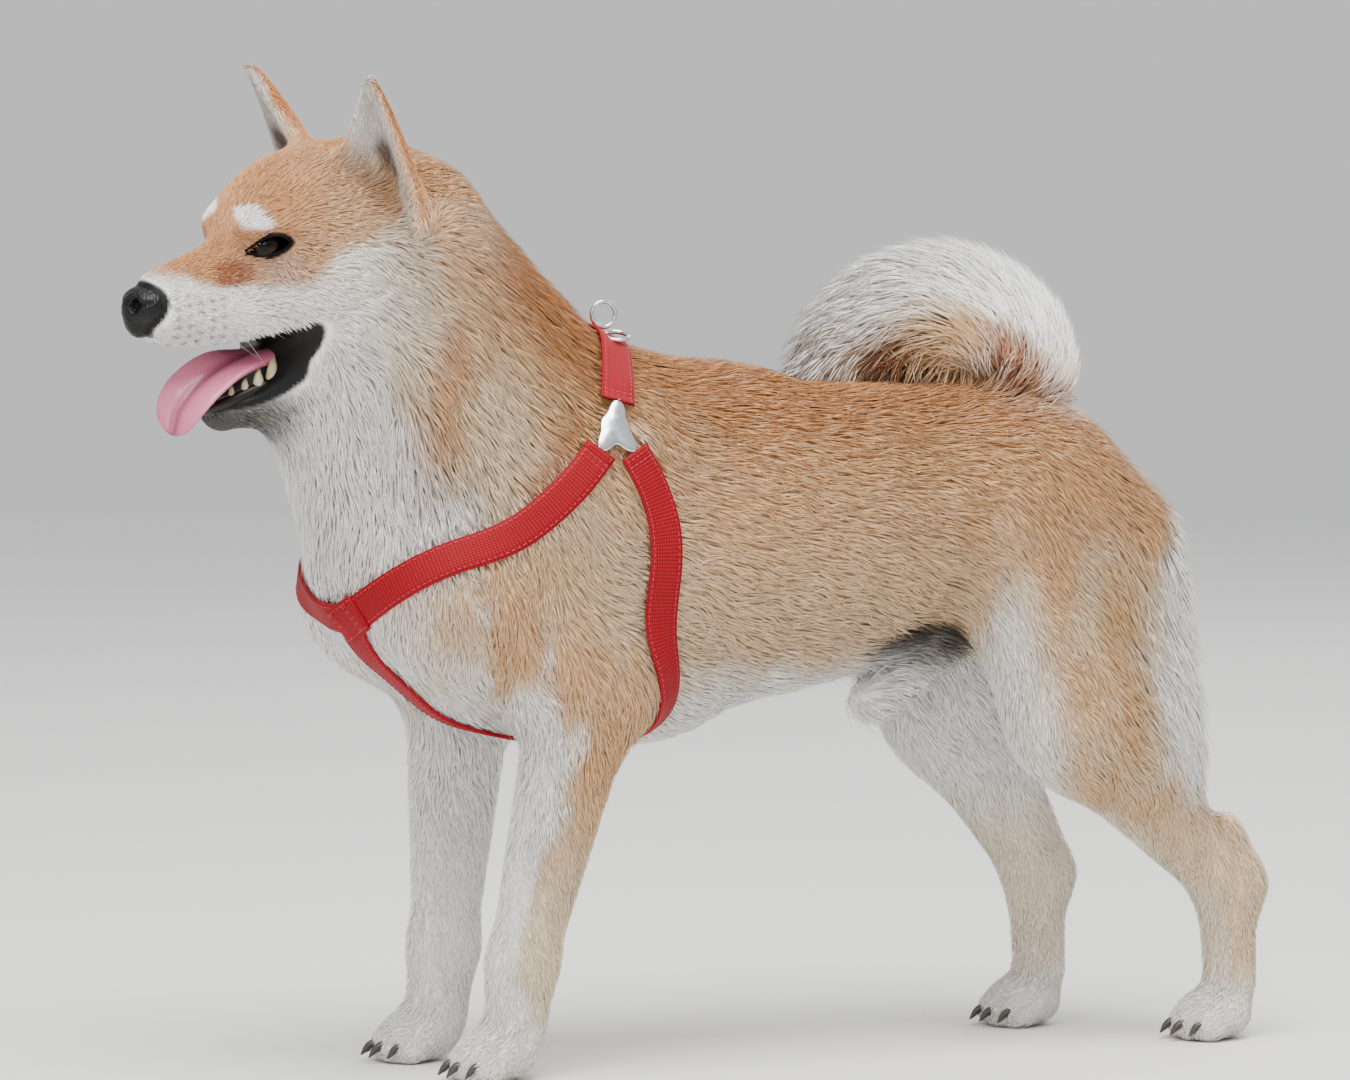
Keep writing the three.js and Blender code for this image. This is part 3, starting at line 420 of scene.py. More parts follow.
def surface(field, low, high, cell, coarse=5):
    """One point for each cell that the surface crosses, the mean of its edge crossings, and a face for
    each crossed edge. Only cells near the surface are worked out: a coarse grid finds them first."""
    low, high = np.array(low, float), np.array(high, float)
    blocks = np.ceil((high - low) / (cell * coarse)).astype(int)
    cells = blocks * coarse

    def grid(n, step):
        axes = [low[a] + np.arange(n[a]) * step for a in range(3)]
        return np.stack(np.meshgrid(*axes, indexing="ij"), -1).reshape(-1, 3)
    rough = on_points(field, grid(blocks + 1, cell * coarse)).reshape(blocks + 1)
    value = stretched(rough, cells + 1)
    near = np.abs(value) < cell * coarse * NEAR_ENOUGH
    value[near] = on_points(field, low + np.argwhere(near) * cell)
    for axis in range(3):
        for end in (0, -1):
            value[along(axis, end)] = np.maximum(value[along(axis, end)], OUTSIDE)
    inside = value < 0
    total, hits = np.zeros((*cells, 3), np.float32), np.zeros(tuple(cells), np.int16)
    crossings = []
    for axis in range(3):
        first, second = along(axis, slice(None, -1)), along(axis, slice(1, None))
        cross = inside[first] != inside[second]
        where = np.argwhere(cross)
        a, b = value[first][cross], value[second][cross]
        spot = where.astype(float)
        spot[:, axis] += a / (a - b)
        crossings.append((where, inside[first][cross]))
        others = [o for o in range(3) if o != axis]
        for steps in ((0, 0), (0, 1), (1, 0), (1, 1)):
            cell_at, ok = shifted(where, others, steps, cells)
            index = tuple(cell_at[ok].T)
            np.add.at(total, index, spot[ok])
            np.add.at(hits, index, 1)
    live = hits > 0
    number = np.full(tuple(cells), -1)
    number[live] = np.arange(live.sum())
    points = low + total[live] / hits[live][:, None] * cell
    faces = []
    for axis, (where, start_inside) in enumerate(crossings):
        ring = []
        for steps in ((1, 1), (0, 1), (0, 0), (1, 0)):
            cell_at, ok = shifted(where, ((axis + 1) % 3, (axis + 2) % 3), steps, cells)
            value_at = np.full(len(cell_at), -1)
            value_at[ok] = number[tuple(cell_at[ok].T)]
            ring.append(value_at)
        quad = np.stack(ring, -1)
        quad[~start_inside] = quad[~start_inside][:, ::-1]
        faces.append(quad[(quad >= 0).all(1)])
    for _ in range(2):
        distance = on_points(field, points)
        way = slope(field, points, 0.3 * cell)
        size2 = np.maximum((way * way).sum(1), 0.2)
        points = points - way * np.clip(distance / size2, -0.4 * cell, 0.4 * cell)[:, None]
    return points, np.concatenate(faces)


# Parts of the body and the depth of the coat over each

LEG_FORMS = [blend(LEG_ROUND, *fields[side]) for fields in (FORE_FIELDS, HIND_FIELDS) for side in (1, -1)]
HEAD, EAR, NECK, TRUNK, FORE_LEFT, FORE_RIGHT, HIND_LEFT, HIND_RIGHT, TAIL = range(9)


def parts(p):
    """Distances to the nine parts of the body, one row each."""
    q = to_head(p)
    legs = [form(p) for form in LEG_FORMS]
    return np.stack([head_bare(q), ear_form(q), neck_form(p), trunk_only(p), *legs, tail_form(p)])


def joined(p, d):
    """The whole body's distance from those of its parts, with the same rounds as the solids."""
    trunk = smooth_min(d[NECK], d[TRUNK], TRUNK_ROUND)
    fore = smooth_min(d[FORE_LEFT], d[FORE_RIGHT], LEG_ROUND)
    hind = smooth_min(d[HIND_LEFT], d[HIND_RIGHT], LEG_ROUND)
    head = smooth_min(d[HEAD], d[EAR], EAR_ROUND)
    return smooth_min(standing(p, trunk, smooth_min(fore, hind, LEG_ROUND), head), d[TAIL], TAIL_ROUND)


def shares(d):
    """How much each part counts at a point: exp(-distance / 7 mm), made to add up to 1."""
    w = np.exp(-np.clip(d - d.min(0), 0, 120) / 7.0)
    return w / w.sum(0)


EYE_SPOT = np.array([55.0, 23.5, -2.5])
EYE_OUT = unit(np.array([0.5, 0.86, 0.06]))
EYE_RADIUS = 11.0


def side_of(side, v):
    """A point or direction of the left half, carried to the side asked for, in the head's frame."""
    return np.array([v[0], v[1] * side, v[2]], float)


def zones(p):
    """Shares from 0 to 1 of the face's zones, the legs' heights and the back of the thighs."""
    u, v, w = to_head(p).T
    from_eye = (u - EYE_SPOT[0]) ** 2 + (np.abs(v) - 25) ** 2 + (w + 3) ** 2
    return {
        "muzzle": soft(u, 50, 82),
        "cheek": soft(-u, -38, -5) * soft(np.abs(v), 22, 42) * soft(-w, -22, 12),
        "nape": soft(-u, 8, 40),
        "eye": np.exp(-from_eye / 18.0 ** 2),
        "shin": soft(-p[:, 2], -175, -115),
        "paw": soft(-p[:, 2], -52, -30),
        "breeches": soft(-p[:, 0], 216, 262) * soft(p[:, 2], 150, 200),
    }


# Values for face, cheek, nape, muzzle, ear, neck, trunk, leg, shin, paws, breeches and tail, in millimetres.
SKIN_DEPTH = 1.5, 2.8, 4.2, 0.9, 0.5, 5.2, 4.2, 3.6, 2.0, 1.4, 6.5, 8.0
TUFT_LENGTH = 7.5, 14.0, 20.0, 4.6, 6.5, 25.0, 22.0, 16.0, 9.0, 6.5, 31.0, 32.0
TUFT_WIDTH = 0.7, 0.85, 0.95, 0.55, 0.65, 1.1, 1.1, 1.0, 0.85, 0.8, 1.2, 1.25
TUFT_RISE = 0.2, 0.6, 1.2, 0.0, 0.3, 2.0, 0.8, 0.8, 0.3, 0.1, 5.0, 7.0
# And the number of tufts for each square millimetre.
TUFT_DENSITY = 0.95, 0.62, 0.45, 1.9, 0.72, 0.25, 0.22, 0.25, 0.34, 0.55, 0.25, 0.45


def over_parts(share, z, values):
    """One number for each point, from the values of its parts in their shares."""
    face, cheek, nape, muzzle, ear, neck, trunk, leg, shin, paws, breeches, tail = values
    head = face + (cheek - face) * z["cheek"]
    head = head + (nape - head) * z["nape"]
    head = head + (muzzle - head) * z["muzzle"]
    limb = leg + (shin - leg) * z["shin"]
    limb = limb + (paws - limb) * z["paw"]
    rear = limb + (breeches - limb) * z["breeches"]
    return (share[HEAD] * head + share[EAR] * ear + share[NECK] * neck + share[TRUNK] * trunk
            + (share[FORE_LEFT] + share[FORE_RIGHT]) * limb + (share[HIND_LEFT] + share[HIND_RIGHT]) * rear
            + share[TAIL] * tail)


def coat_depth(p, d):
    """Millimetres from the coat's outside down to the skin."""
    z = zones(p)
    return over_parts(shares(d), z, SKIN_DEPTH) * (1 - 0.65 * z["eye"])


def skin_form(p):
    d = parts(p)
    return joined(p, d) + coat_depth(p, d)


def eye_frame(side):
    """Centre of an eyeball set against the face, and its directions outwards, backwards and up."""
    out = turned(side_of(side, EYE_OUT))
    p = from_head(side_of(side, EYE_SPOT))[None]
    for _ in range(30):
        p = p - out * body_form(p)[:, None] * 0.7
    centre = p[0] - out * (EYE_RADIUS + 1.6)
    back = turned([-1, 0, 0])
    back = unit(back - out * (back @ out))
    up = np.cross(out, back)
    return centre, out, back, up * math.copysign(1.0, up[2])


EYES = {side: eye_frame(side) for side in (1, -1)}
LIDS = [
    [-12.5, -3.4], [-8, -0.2], [-2, 3.6], [4, 5.4], [9.5, 4.4], [12.5, 1.2], [9, -2.4], [3, -4.8], [-4, -5.2],
    [-9, -4.4],
]


def lid_curve(count):
    """The opening between the lids as a closed smooth curve through its ten corners."""
    closed = np.array(LIDS[-2:] + LIDS + LIDS[:3], float)
    line, _ = catmull(np.column_stack([closed, np.zeros(len(closed))]), 1500)
    line = line[:, :2]
    start = np.argmin(np.linalg.norm(line - LIDS[0], axis=1))
    stop = len(line) // 2 + np.argmin(np.linalg.norm(line[len(line) // 2:] - LIDS[0], axis=1))
    return line[np.linspace(start, stop, count + 1).astype(int)[:-1]]


LID_LINE = lid_curve(64)
LID_ANGLES = np.arctan2(LID_LINE[:, 1], LID_LINE[:, 0])
LID_ORDER = np.argsort(LID_ANGLES)
LID_REACH = LID_ANGLES[LID_ORDER], np.linalg.norm(LID_LINE, axis=1)[LID_ORDER]


def lid_opening(p):
    """About the distance to the prism through the lids' outline: a point's radius less the outline's."""
    best = np.full(len(p), 99.0)
    for centre, out, back, up in EYES.values():
        r = p - centre
        a, b = r @ back, r @ up
        edge = np.interp(np.arctan2(b, a), *LID_REACH, period=2 * math.pi)
        best = np.minimum(best, np.maximum(np.hypot(a, b) - edge, -(r @ out)))
    return best


def head_skin(p):
    """The head's skin, opened between the lids and cut off inside the neck."""
    q = to_head(p)
    cut = np.maximum(-(q[:, 0] + 52.0), -(q[:, 2] + 118.0))
    return np.maximum(np.maximum(skin_form(p), -lid_opening(p)), cut)


def body_skin(p):
    """The body's skin, cut off inside the head, and just under the head's skin where both are there."""
    q = to_head(p)
    ahead = np.minimum(q[:, 0] + 8.0, q[:, 2] + 98.0)
    lower = 1.2 * soft(np.minimum(q[:, 0] + 60.0, q[:, 2] + 128.0), 0, 12)
    return np.maximum(skin_form(p) + lower, ahead)


NETS = {}
HEAD_CELL, BODY_CELL, NOSE_CELL = 1.65, 3.8, 0.6


def skin_nets():
    """Points and faces of the two skins, worked out once."""
    if not NETS:
        NETS["head"] = surface(head_skin, [132, -78, 345], [352, 92, 566], HEAD_CELL, 4)
        NETS["body"] = surface(body_skin, [-352, -112, 0], [262, 112, 520], BODY_CELL, 4)
    return NETS


# Markings

# Places along the head, and the height there of the line under which it is white.
WHITE_LINE = [-28, -15, 2, 15, 35, 45, 64, 100, 125], [20, 20, 16, 4, -8, -20, -25, -22, -20]
RED, PALE, CREAM, WHITE, RUST = (linear(c) for c in ("#BF763A", "#D9AC7C", "#E8D4B6", "#FBF9F5", "#8A4418"))
# The third colour here is painted shade for the hollow of the ear's cup.
GREY, BLACK, EAR_HOLLOW_SHADE = (linear(c) for c in ("#D3CCC4", "#050404", "#38100F"))


def mixed(a, b, share):
    return a + (b - a) * np.clip(share, 0, 1)[:, None]


def painted(colour, *coats):
    """A first colour with others laid over it in turn, each in its own share."""
    return reduce(lambda under, coat: mixed(under, *coat), coats, colour)


def blot(x, y, low, high):
    """1 inside an ellipse, 0 outside; x and y are in half axes, and it fades from low to high of them."""
    return soft(-np.hypot(x, y), -high, -low)


def before_neck(p):
    """Millimetres in front of a sloping plane through the neck."""
    return (p[:, 0] - 104) * 0.78 - (p[:, 2] - 324) * 0.62


def patch(p, a, b, radius, edge=6.0):
    """1 inside a band of a given radius from a to b, mirrored to both sides, and 0 outside, softly."""
    m = np.column_stack([p[:, 0], np.abs(p[:, 1]), p[:, 2]])
    return soft(-bone(a, b, radius, radius)(m), -edge, edge)


def head_colour(p, wave):
    """Red above and white below a line from the ears to the lip, with white brows and a rust tear mark."""
    u, v, w = to_head(p).T
    side = np.abs(v)
    line = np.interp(u, *WHITE_LINE)
    white = soft(line - w + wave * 0.5, -3.5, 3.5)
    brow = np.hypot((u - 66) / 12.5, (w - 10 - 0.5 * (u - 66)) / 7.0) + 0.05 * np.abs(side - 22)
    dots = soft(np.sin(u) + np.sin(w * 1.25 + 0.25 * u), 0.9, 1.5) * soft(u, 72, 84) * soft(-u, -118, -108)
    return painted(
        RED,
        (PALE, 0.35 + 0.45 * soft(side, 16, 40) * soft(-u, -52, -20)),
        (WHITE, white),
        (PALE, 0.65 * soft(-u, -20, 22) * white),
        (PALE, 0.5 * soft(-u, 8, 34)),
        (WHITE, soft(-brow, -1.25, -0.8) * soft(side, 6, 14)),
        (RUST, 0.75 * blot((u - 77) / 9.0, (w + 18) / 7.0, 0.7, 1.3) * soft(side, 4, 10)),
        (RUST, 0.6 * soft(-lid_opening(p), -7, -1)),
        (GREY * 0.12, 0.75 * dots * soft(-w, 26, 32) * soft(w, -60, -54)),
        (BLACK * 2, 0.9 * soft(-w + wave, 66, 78) * soft(u, 28, 50)),
    )


def ear_colour(p):
    """Red behind; grey inside, with white along the front edge and painted shade in the hollow of the cup."""
    u, v, w = to_head(p).T
    s, f, t = ear_place(np.column_stack([u, np.abs(v), w]))
    inner = soft(ear_bend(s, f), -1.5, 1.5)
    rim = np.abs(s) / ear_half_width(np.clip(1 - t, 0.02, 1.6))
    return painted(
        RED + (PALE - RED) * 0.35,
        (GREY, inner),
        (WHITE, 0.6 * inner * soft(-s, 2, 14)),
        # Painted shade: a dark red-brown in the hollow of the ear's cup.
        (EAR_HOLLOW_SHADE, 0.85 * inner * blot((s - 7) / 10, (t - 0.24) / 0.27, 0.6, 1.2)),
        (PALE, 0.8 * inner * soft(rim, 0.7, 0.95)),
        (RED, 0.7 * (1 - inner) * soft(t, 0.1, 0.7)),
    )


def neck_colour(p, wave):
    """Pale to white from the nape to the throat, with two red patches on each side."""
    ahead = before_neck(p) + wave
    return painted(
        RED,
        (PALE, 0.2 + 0.8 * soft(ahead, -56, -26)),
        (CREAM, 0.8 * soft(ahead, -30, 0)),
        (WHITE, soft(ahead, 28, 46)),
        (RED * 0.6 + PALE * 0.4, 0.85 * patch(p, [174, 64, 420], [184, 66, 344], 12, 10)),
        (RED, 0.8 * patch(p, [96, 66, 390], [131, 68, 342], 8, 8)),
    )


def trunk_colour(p, wave):
    """Red back, paler flanks, white chest and belly, and a black patch before the thigh that is painted shade
    in the fold of the groin, partly the groin's own dark skin.
    """
    x, _, h = p.T
    return painted(
        RED * 0.7 + PALE * 0.3,
        (PALE, soft(-h + wave, -378, -322)),
        (CREAM, 0.45 * soft(-h + wave, -330, -250)),
        (CREAM, 0.6 * soft(x, 10, 90) * soft(-h, -385, -345)),
        # Painted shade: a black patch where the belly meets the thigh, the shadow of the groin fold, partly
        # the groin's own dark skin.
        (BLACK * 2, 0.97 * blot((x + 122) / 42, (h - 233) / 19, 0.75, 1.2)),
        (WHITE, soft(-h + wave, -246, -212)),
        (WHITE, soft(x + wave, 150, 186)),
        (RUST, 0.6 * patch(p, [-140, 66, 332], [-127, 70, 286], 7)),
    )


def foreleg_colour(p, wave, ahead, outer):
    h = p[:, 2]
    return painted(
        CREAM,
        (PALE, soft(outer - 0.7 * ahead, 0.1, 0.9) * soft(h, 90, 190)),
        (WHITE, soft(ahead + 0.3 * wave / 4, 0.1, 0.6) + soft(-outer, 0.0, 0.4)),
        (PALE, 0.45 * soft(h, 200, 260) * soft(outer, 0.1, 0.6)),
        (WHITE, 0.8 * soft(-h, -60, -30)),
    )


def hindleg_colour(p, wave, ahead, outer):
    x, _, h = p.T
    return painted(
        PALE,
        (RED, 0.35 * soft(h, 260, 340) * soft(outer, 0.1, 0.7)),
        (CREAM, 0.6 * soft(wave, -3, 4) * soft(-h, -330, -280)),
        (WHITE, 0.85 * soft(ahead, 0.25, 0.7)),
        (WHITE, soft(-x - 0.25 * np.abs(h - 235) + wave, 234, 254) * soft(h, 130, 180)),
        (RED, 0.45 * soft(-ahead, 0.2, 0.8) * soft(-h, -150, -100)),
        (WHITE, soft(-outer, -0.05, 0.35)),
        (CREAM, 0.7 * soft(-h, -175, -110)),
        (WHITE, 0.8 * soft(-h, -60, -30)),
    )


def tail_colour(p, wave):
    """White outside the curl, cream to red inside it, with two rust spots low down."""
    inward = (p - TAIL_LINE[nearest_tail(p)]) @ np.array([0.15, 0.25, -1.0])
    inside = -np.linalg.norm((p - np.array([-158, 18, 394])) / np.array([1.15, 1.6, 0.8]), axis=1)
    return painted(
        WHITE,
        (CREAM, soft(inward + wave, 2, 20)),
        (PALE, 0.9 * soft(inside + wave, -34, -16)),
        (RUST, 0.95 * soft(-np.linalg.norm(p - [-130, 8, 400], axis=1) + wave, -22, -12)),
        (RUST, 0.9 * soft(-np.linalg.norm(p - [-186, 24, 381], axis=1) + wave, -17, -8)),
    )


def markings(p, normal):
    """Colour of the coat in linear light, from the place of each point and the way that it faces."""
    wave = ripple(p, 34.0, 3) * 3.5 + ripple(p, 11.0, 4) * 1.6
    ahead, left = normal[:, 0], normal[:, 1]
    layers = [
        head_colour(p, wave), ear_colour(p), neck_colour(p, wave), trunk_colour(p, wave),
        foreleg_colour(p, wave, ahead, left), foreleg_colour(p, wave, ahead, -left),
        hindleg_colour(p, wave, ahead, left), hindleg_colour(p, wave, ahead, -left), tail_colour(p, wave),
    ]
    colour = sum(part * s[:, None] for part, s in zip(layers, shares(parts(p))))
    return colour * (1 + 0.05 * ripple(p, 60.0, 8))[:, None]


def nearest_tail(p):
    """Number of the nearest of the spots along the tail."""
    best = np.full(len(p), 1e9)
    at_spot = np.zeros(len(p), int)
    for n, centre in enumerate(TAIL_LINE):
        d2 = ((p - centre) ** 2).sum(1)
        closer = d2 < best
        best[closer] = d2[closer]
        at_spot[closer] = n
    return at_spot


def bare_share(p):
    """1 where black bare skin shows: the mouth's inside, the lips and the lids' rims."""
    q = to_head(p)
    lips = 2.4 + 4.6 * soft(-q[:, 2], 62, 76)
    mouth = soft(lips - mouth_wedge(q), -0.8, 0.8)
    nose_room = soft(3.2 - nose_form(q), -0.8, 0.8)
    return np.maximum(np.maximum(mouth, soft(2.4 - lid_opening(p), -0.8, 0.8)), nose_room)


# Meshes and materials

def new_mesh(name, points, faces, material, slot, stands_for=(), colour=None, uv=None):
    """Makes a mesh object from points in millimetres and faces of one size, and hands it to the frame."""
    points = (np.asarray(points, float) + SHIFT) * MM
    faces = np.asarray(faces, int)
    mesh = bpy.data.meshes.new(name)
    mesh.vertices.add(len(points))
    mesh.vertices.foreach_set("co", points.ravel())
    mesh.loops.add(faces.size)
    mesh.loops.foreach_set("vertex_index", faces.ravel())
    mesh.polygons.add(len(faces))
    mesh.polygons.foreach_set("loop_start", np.arange(len(faces)) * faces.shape[1])
    mesh.update(calc_edges=True)
    mesh.polygons.foreach_set("use_smooth", np.ones(len(faces), bool))
    if colour is not None:
        alpha = colour[:, 3:] if colour.shape[1] > 3 else np.ones((len(colour), 1))
        layer = mesh.attributes.new("coat", "FLOAT_COLOR", "POINT")
        layer.data.foreach_set("color", np.hstack([np.clip(colour[:, :3], 0, 1), alpha]).ravel())
    if uv is not None:
        layer = mesh.uv_layers.new(name=uv[0])
        layer.data.foreach_set("uv", np.asarray(uv[1], float)[faces.ravel()].ravel())
    mesh.validate()
    obj = bpy.data.objects.new(name, mesh)
    bpy.context.scene.collection.objects.link(obj)
    mesh.materials.append(material)
    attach(obj, "root")
    if stands_for:
        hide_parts(*stands_for)
    return obj


def settle(tree, node, links, values):
    """Sets a node's properties, or else its sockets by name, and links outputs of earlier nodes to it."""
    for key, value in values.items():
        if hasattr(node, key):
            setattr(node, key, value)
        else:
            node.inputs[key.replace("_", " ")].default_value = value
    for socket, source in links.items():
        tree.links.new(source, node.inputs[socket])
    return node


def add_node(tree, kind, links=None, **values):
    return settle(tree, tree.nodes.new("ShaderNode" + kind), links or {}, values)


def finish_of(name, build):
    """A material with its output and shader; build(tree) gives the links and values of its sockets."""
    material = bpy.data.materials.new(name)
    material.use_nodes = True
    tree = material.node_tree
    tree.nodes.clear()
    shader = add_node(tree, "BsdfPrincipled")
    add_node(tree, "OutputMaterial", {"Surface": shader.outputs["BSDF"]})
    settle(tree, shader, *build(tree))
    return material


def texture(tree, kind, **values):
    """A texture in the metres of the piece's own frame."""
    place = add_node(tree, "TexCoord")
    return add_node(tree, "Tex" + kind, {"Vector": place.outputs["Object"]}, **values)


def ramp(tree, value, low, high, start=0.0, stop=1.0):
    """A run from one colour to another, over values from start to stop."""
    node = add_node(tree, "ValToRGB", {"Fac": value})
    for element, colour, spot_on in zip(node.color_ramp.elements, (low, high), (start, stop)):
        element.position = spot_on
        element.color = rgba(colour)
    return node.outputs["Color"]


def span_of(tree, value, low, high):
    """A value from 0 to 1, carried to a run from low to high."""
    return add_node(tree, "MapRange", {"Value": value}, To_Min=low, To_Max=high).outputs["Result"]


def bump(tree, height, strength, distance, invert=False):
    node = add_node(tree, "Bump", {"Height": height}, Strength=strength, Distance=distance, invert=invert)
    return node.outputs["Normal"]


def rgba(colour):
    return (*[float(c) for c in colour], 1.0)


def own_colour(tree):
    """The colour and alpha that each point of a mesh carries."""
    return add_node(tree, "Attribute", attribute_name="coat").outputs


def hair(tree):
    """Dog hair, dyed by nothing: a dry keratin fibre that scatters light softly, each tuft its own shade."""
    # Hairs 0.08 mm thick are too fine to show, so streaks are drawn about 0.7 mm wide.
    streaks = texture(tree, "Noise", Scale=1400.0, Detail=2.0).outputs["Fac"]
    pair = {0: own_colour(tree)["Color"], 1: span_of(tree, streaks, 0.84, 1.14)}
    shade = add_node(tree, "VectorMath", pair, operation="MULTIPLY")
    return {"Base Color": shade.outputs["Vector"]}, dict(Roughness=0.62, IOR=1.55, Specular_IOR_Level=0.25)


def skin(tree):
    """Skin under the coat, and bare black skin on lips and lids, damp enough to take small highlights."""
    # Creases of the lips and the grain of bare skin, about 0.8 mm apart.
    grain = texture(tree, "Noise", Scale=1250.0, Detail=4.0)
    folds = texture(tree, "Noise", Scale=180.0, Detail=3.0)
    height = add_node(tree, "Math", {0: grain.outputs["Fac"], 1: folds.outputs["Fac"]}, operation="ADD")
    colour = own_colour(tree)
    links = {
        "Base Color": colour["Color"], "Roughness": span_of(tree, colour["Alpha"], 0.85, 0.42),
        "Normal": bump(tree, height.outputs["Value"], 0.5, 0.0006),
    }
    return links, dict(Specular_IOR_Level=0.22)


def nose_leather(tree):
    """Nose leather: black pebbled skin, moist, so that each pebble catches its own small light."""
    pebbles = texture(tree, "Voronoi", Scale=850.0, feature="SMOOTH_F1").outputs["Distance"]
    # Painted shade: the black a little darker in the grooves between the pebbles.
    colour = ramp(tree, pebbles, linear("#100E0F"), linear("#040404"))
    links = {"Base Color": colour, "Normal": bump(tree, pebbles, 0.7, 0.0007, True)}
    return links, dict(Roughness=0.4, IOR=1.4, Specular_IOR_Level=0.3, Coat_Weight=0.06, Coat_Roughness=0.25)


def wet_eye(tree):
    """Eye: a dark brown iris behind a wet clear cornea, which gives one sharp highlight."""
    look = dict(Roughness=0.06, IOR=1.34, Specular_IOR_Level=0.18, Coat_Weight=0.15, Coat_Roughness=0.02)
    return {"Base Color": own_colour(tree)["Color"]}, look


def wet_tongue(tree):
    """Tongue: soft wet flesh with fine papillae, which light enters a little."""
    # Papillae about 0.7 mm apart.
    papillae = texture(tree, "Voronoi", Scale=1400.0).outputs["Distance"]
    links = {"Base Color": own_colour(tree)["Color"], "Normal": bump(tree, papillae, 0.35, 0.0004, True)}
    look = dict(Roughness=0.3, IOR=1.4, Coat_Weight=0.4, Coat_Roughness=0.15)
    return links, dict(look, Subsurface_Weight=0.15, Subsurface_Scale=0.004)


def woven_webbing(tree):
    """Polyester webbing: flat ribs of dyed yarn across the strap, matt, with painted shade that darkens the
    gaps between them.
    """
    place = {"Vector": add_node(tree, "UVMap", uv_map="weave").outputs["UV"]}
    # Ribs 1.3 mm apart along the strap, yarns 0.9 mm apart across it.
    ribs = add_node(tree, "TexWave", place, Scale=160.0, Distortion=0.4, bands_direction="X")
    yarns = add_node(tree, "TexWave", place, Scale=220.0, Distortion=0.3, bands_direction="Y")
    both = add_node(tree, "Math", {0: ribs.outputs["Fac"], 1: yarns.outputs["Fac"]}, operation="MULTIPLY")
    dye = np.array(bpy.context.scene.shiba.webbing)
    # Painted shade: the dye darker in the gaps between ribs and yarns, where the weave dips.
    colour = ramp(tree, both.outputs["Value"], dye * 0.42, dye, stop=0.6)
    links = {"Base Color": colour, "Normal": bump(tree, both.outputs["Value"], 0.6, 0.0004)}
    return links, dict(Roughness=0.65, Specular_IOR_Level=0.2)


def chromed_steel(tree):
    """Chromed steel: bright and mirror-like, with the faint waviness of a stamped part and rubbed spots."""
    rub = texture(tree, "Noise", Scale=300.0, Detail=4.0).outputs["Fac"]
    links = {"Roughness": span_of(tree, rub, 0.08, 0.32), "Normal": bump(tree, rub, 0.15, 0.0003)}
    return links, dict(Base_Color=rgba(linear("#D8D9DA")), Metallic=1.0)


def plain(colour, size, height, **look):
    """A solid colour with slight unevenness, of a stated size and height in millimetres."""
    def build(tree):
        noise = texture(tree, "Noise", Scale=1000.0 / size, Detail=3.0).outputs["Fac"]
        tone = ramp(tree, noise, linear(colour) * 0.72, linear(colour), 0.3, 0.7)
        return {"Base Color": tone, "Normal": bump(tree, noise, 0.4, height * MM)}, look
    return build


# Coat


LIE = {
    "neck": [-0.55, 0, -0.8], "throat": [-0.12, 0, -1], "trunk": [-1, 0, -0.3], "chest": [-0.4, 0, -0.9],
    "fore": [-0.18, 0, -1], "thigh": [-0.55, 0, -0.85], "breeches": [-0.35, 0, -1], "shin": [-0.12, 0, -1],
    "paw": [0.75, 0, -0.65],
}


def lie_of_coat(p, normal, d, z):
    """Unit direction of the hair at each root, along the skin."""
    def between(a, b, share):
        return lie[a] * (1 - share) + lie[b] * share
    lie = {key: unit(np.array(value, float)) for key, value in LIE.items()}
    q = to_head(p)
    u, v, w = q.T
    away = unit(q - np.array([128.0, 0, -28.0])) + np.array([-0.3, 0, 0.0])
    away[:, 2] -= 0.5 * z["cheek"]
    away[:, 2] -= 0.45 * soft(-w, 30, 70) * soft(-u, -50, -20)
    ear = np.tile(EAR_AXIS, (len(p), 1))
    ear[:, 1] *= np.sign(v)
    shin, paws, rear = (z[key][:, None] for key in ("shin", "paw", "breeches"))
    hind = between("thigh", "shin", shin)
    hind = hind * (1 - rear) + lie["breeches"] * rear
    hind = hind * (1 - paws) + lie["paw"] * paws
    near = nearest_tail(p)
    hang = soft(-(p - TAIL_LINE[near])[:, 2], 4, 24)[:, None]
    fore = between("fore", "paw", paws)
    front, chest = soft(before_neck(p), 10, 50)[:, None], soft(p[:, 0], 90, 160)[:, None]
    layers = [
        away @ HEAD_TURN.T, ear @ HEAD_TURN.T,
        between("neck", "throat", front), between("trunk", "chest", chest),
        fore, fore, hind, hind,
        TAIL_WAY[near] * (1 - 0.75 * hang) + np.array([0, 0.15, -1.0]) * hang,
    ]
    way = sum(part * s[:, None] for part, s in zip(layers, shares(d)))
    swirl = np.column_stack([ripple(p, 26.0, 20 + a) for a in range(3)])
    way = unit(way) + 0.22 * swirl
    return unit(way - normal * (way * normal).sum(1)[:, None])


def rooted(points, faces, density, rng):
    """Random roots on a net: each face holds area x density roots, a fraction of one by chance."""
    a, b, c, e = (points[faces[:, n]] for n in range(4))
    cross = np.cross(c - a, e - b)
    area = 0.5 * np.linalg.norm(cross, axis=1)
    want = area * density
    count = np.floor(want + rng.random(len(faces))).astype(int)
    pick = np.repeat(np.arange(len(faces)), count)
    s, t = rng.random((2, len(pick), 1))
    roots = (a[pick] * (1 - s) + b[pick] * s) * (1 - t) + (e[pick] * (1 - s) + c[pick] * s) * t
    return roots, unit(cross[pick])


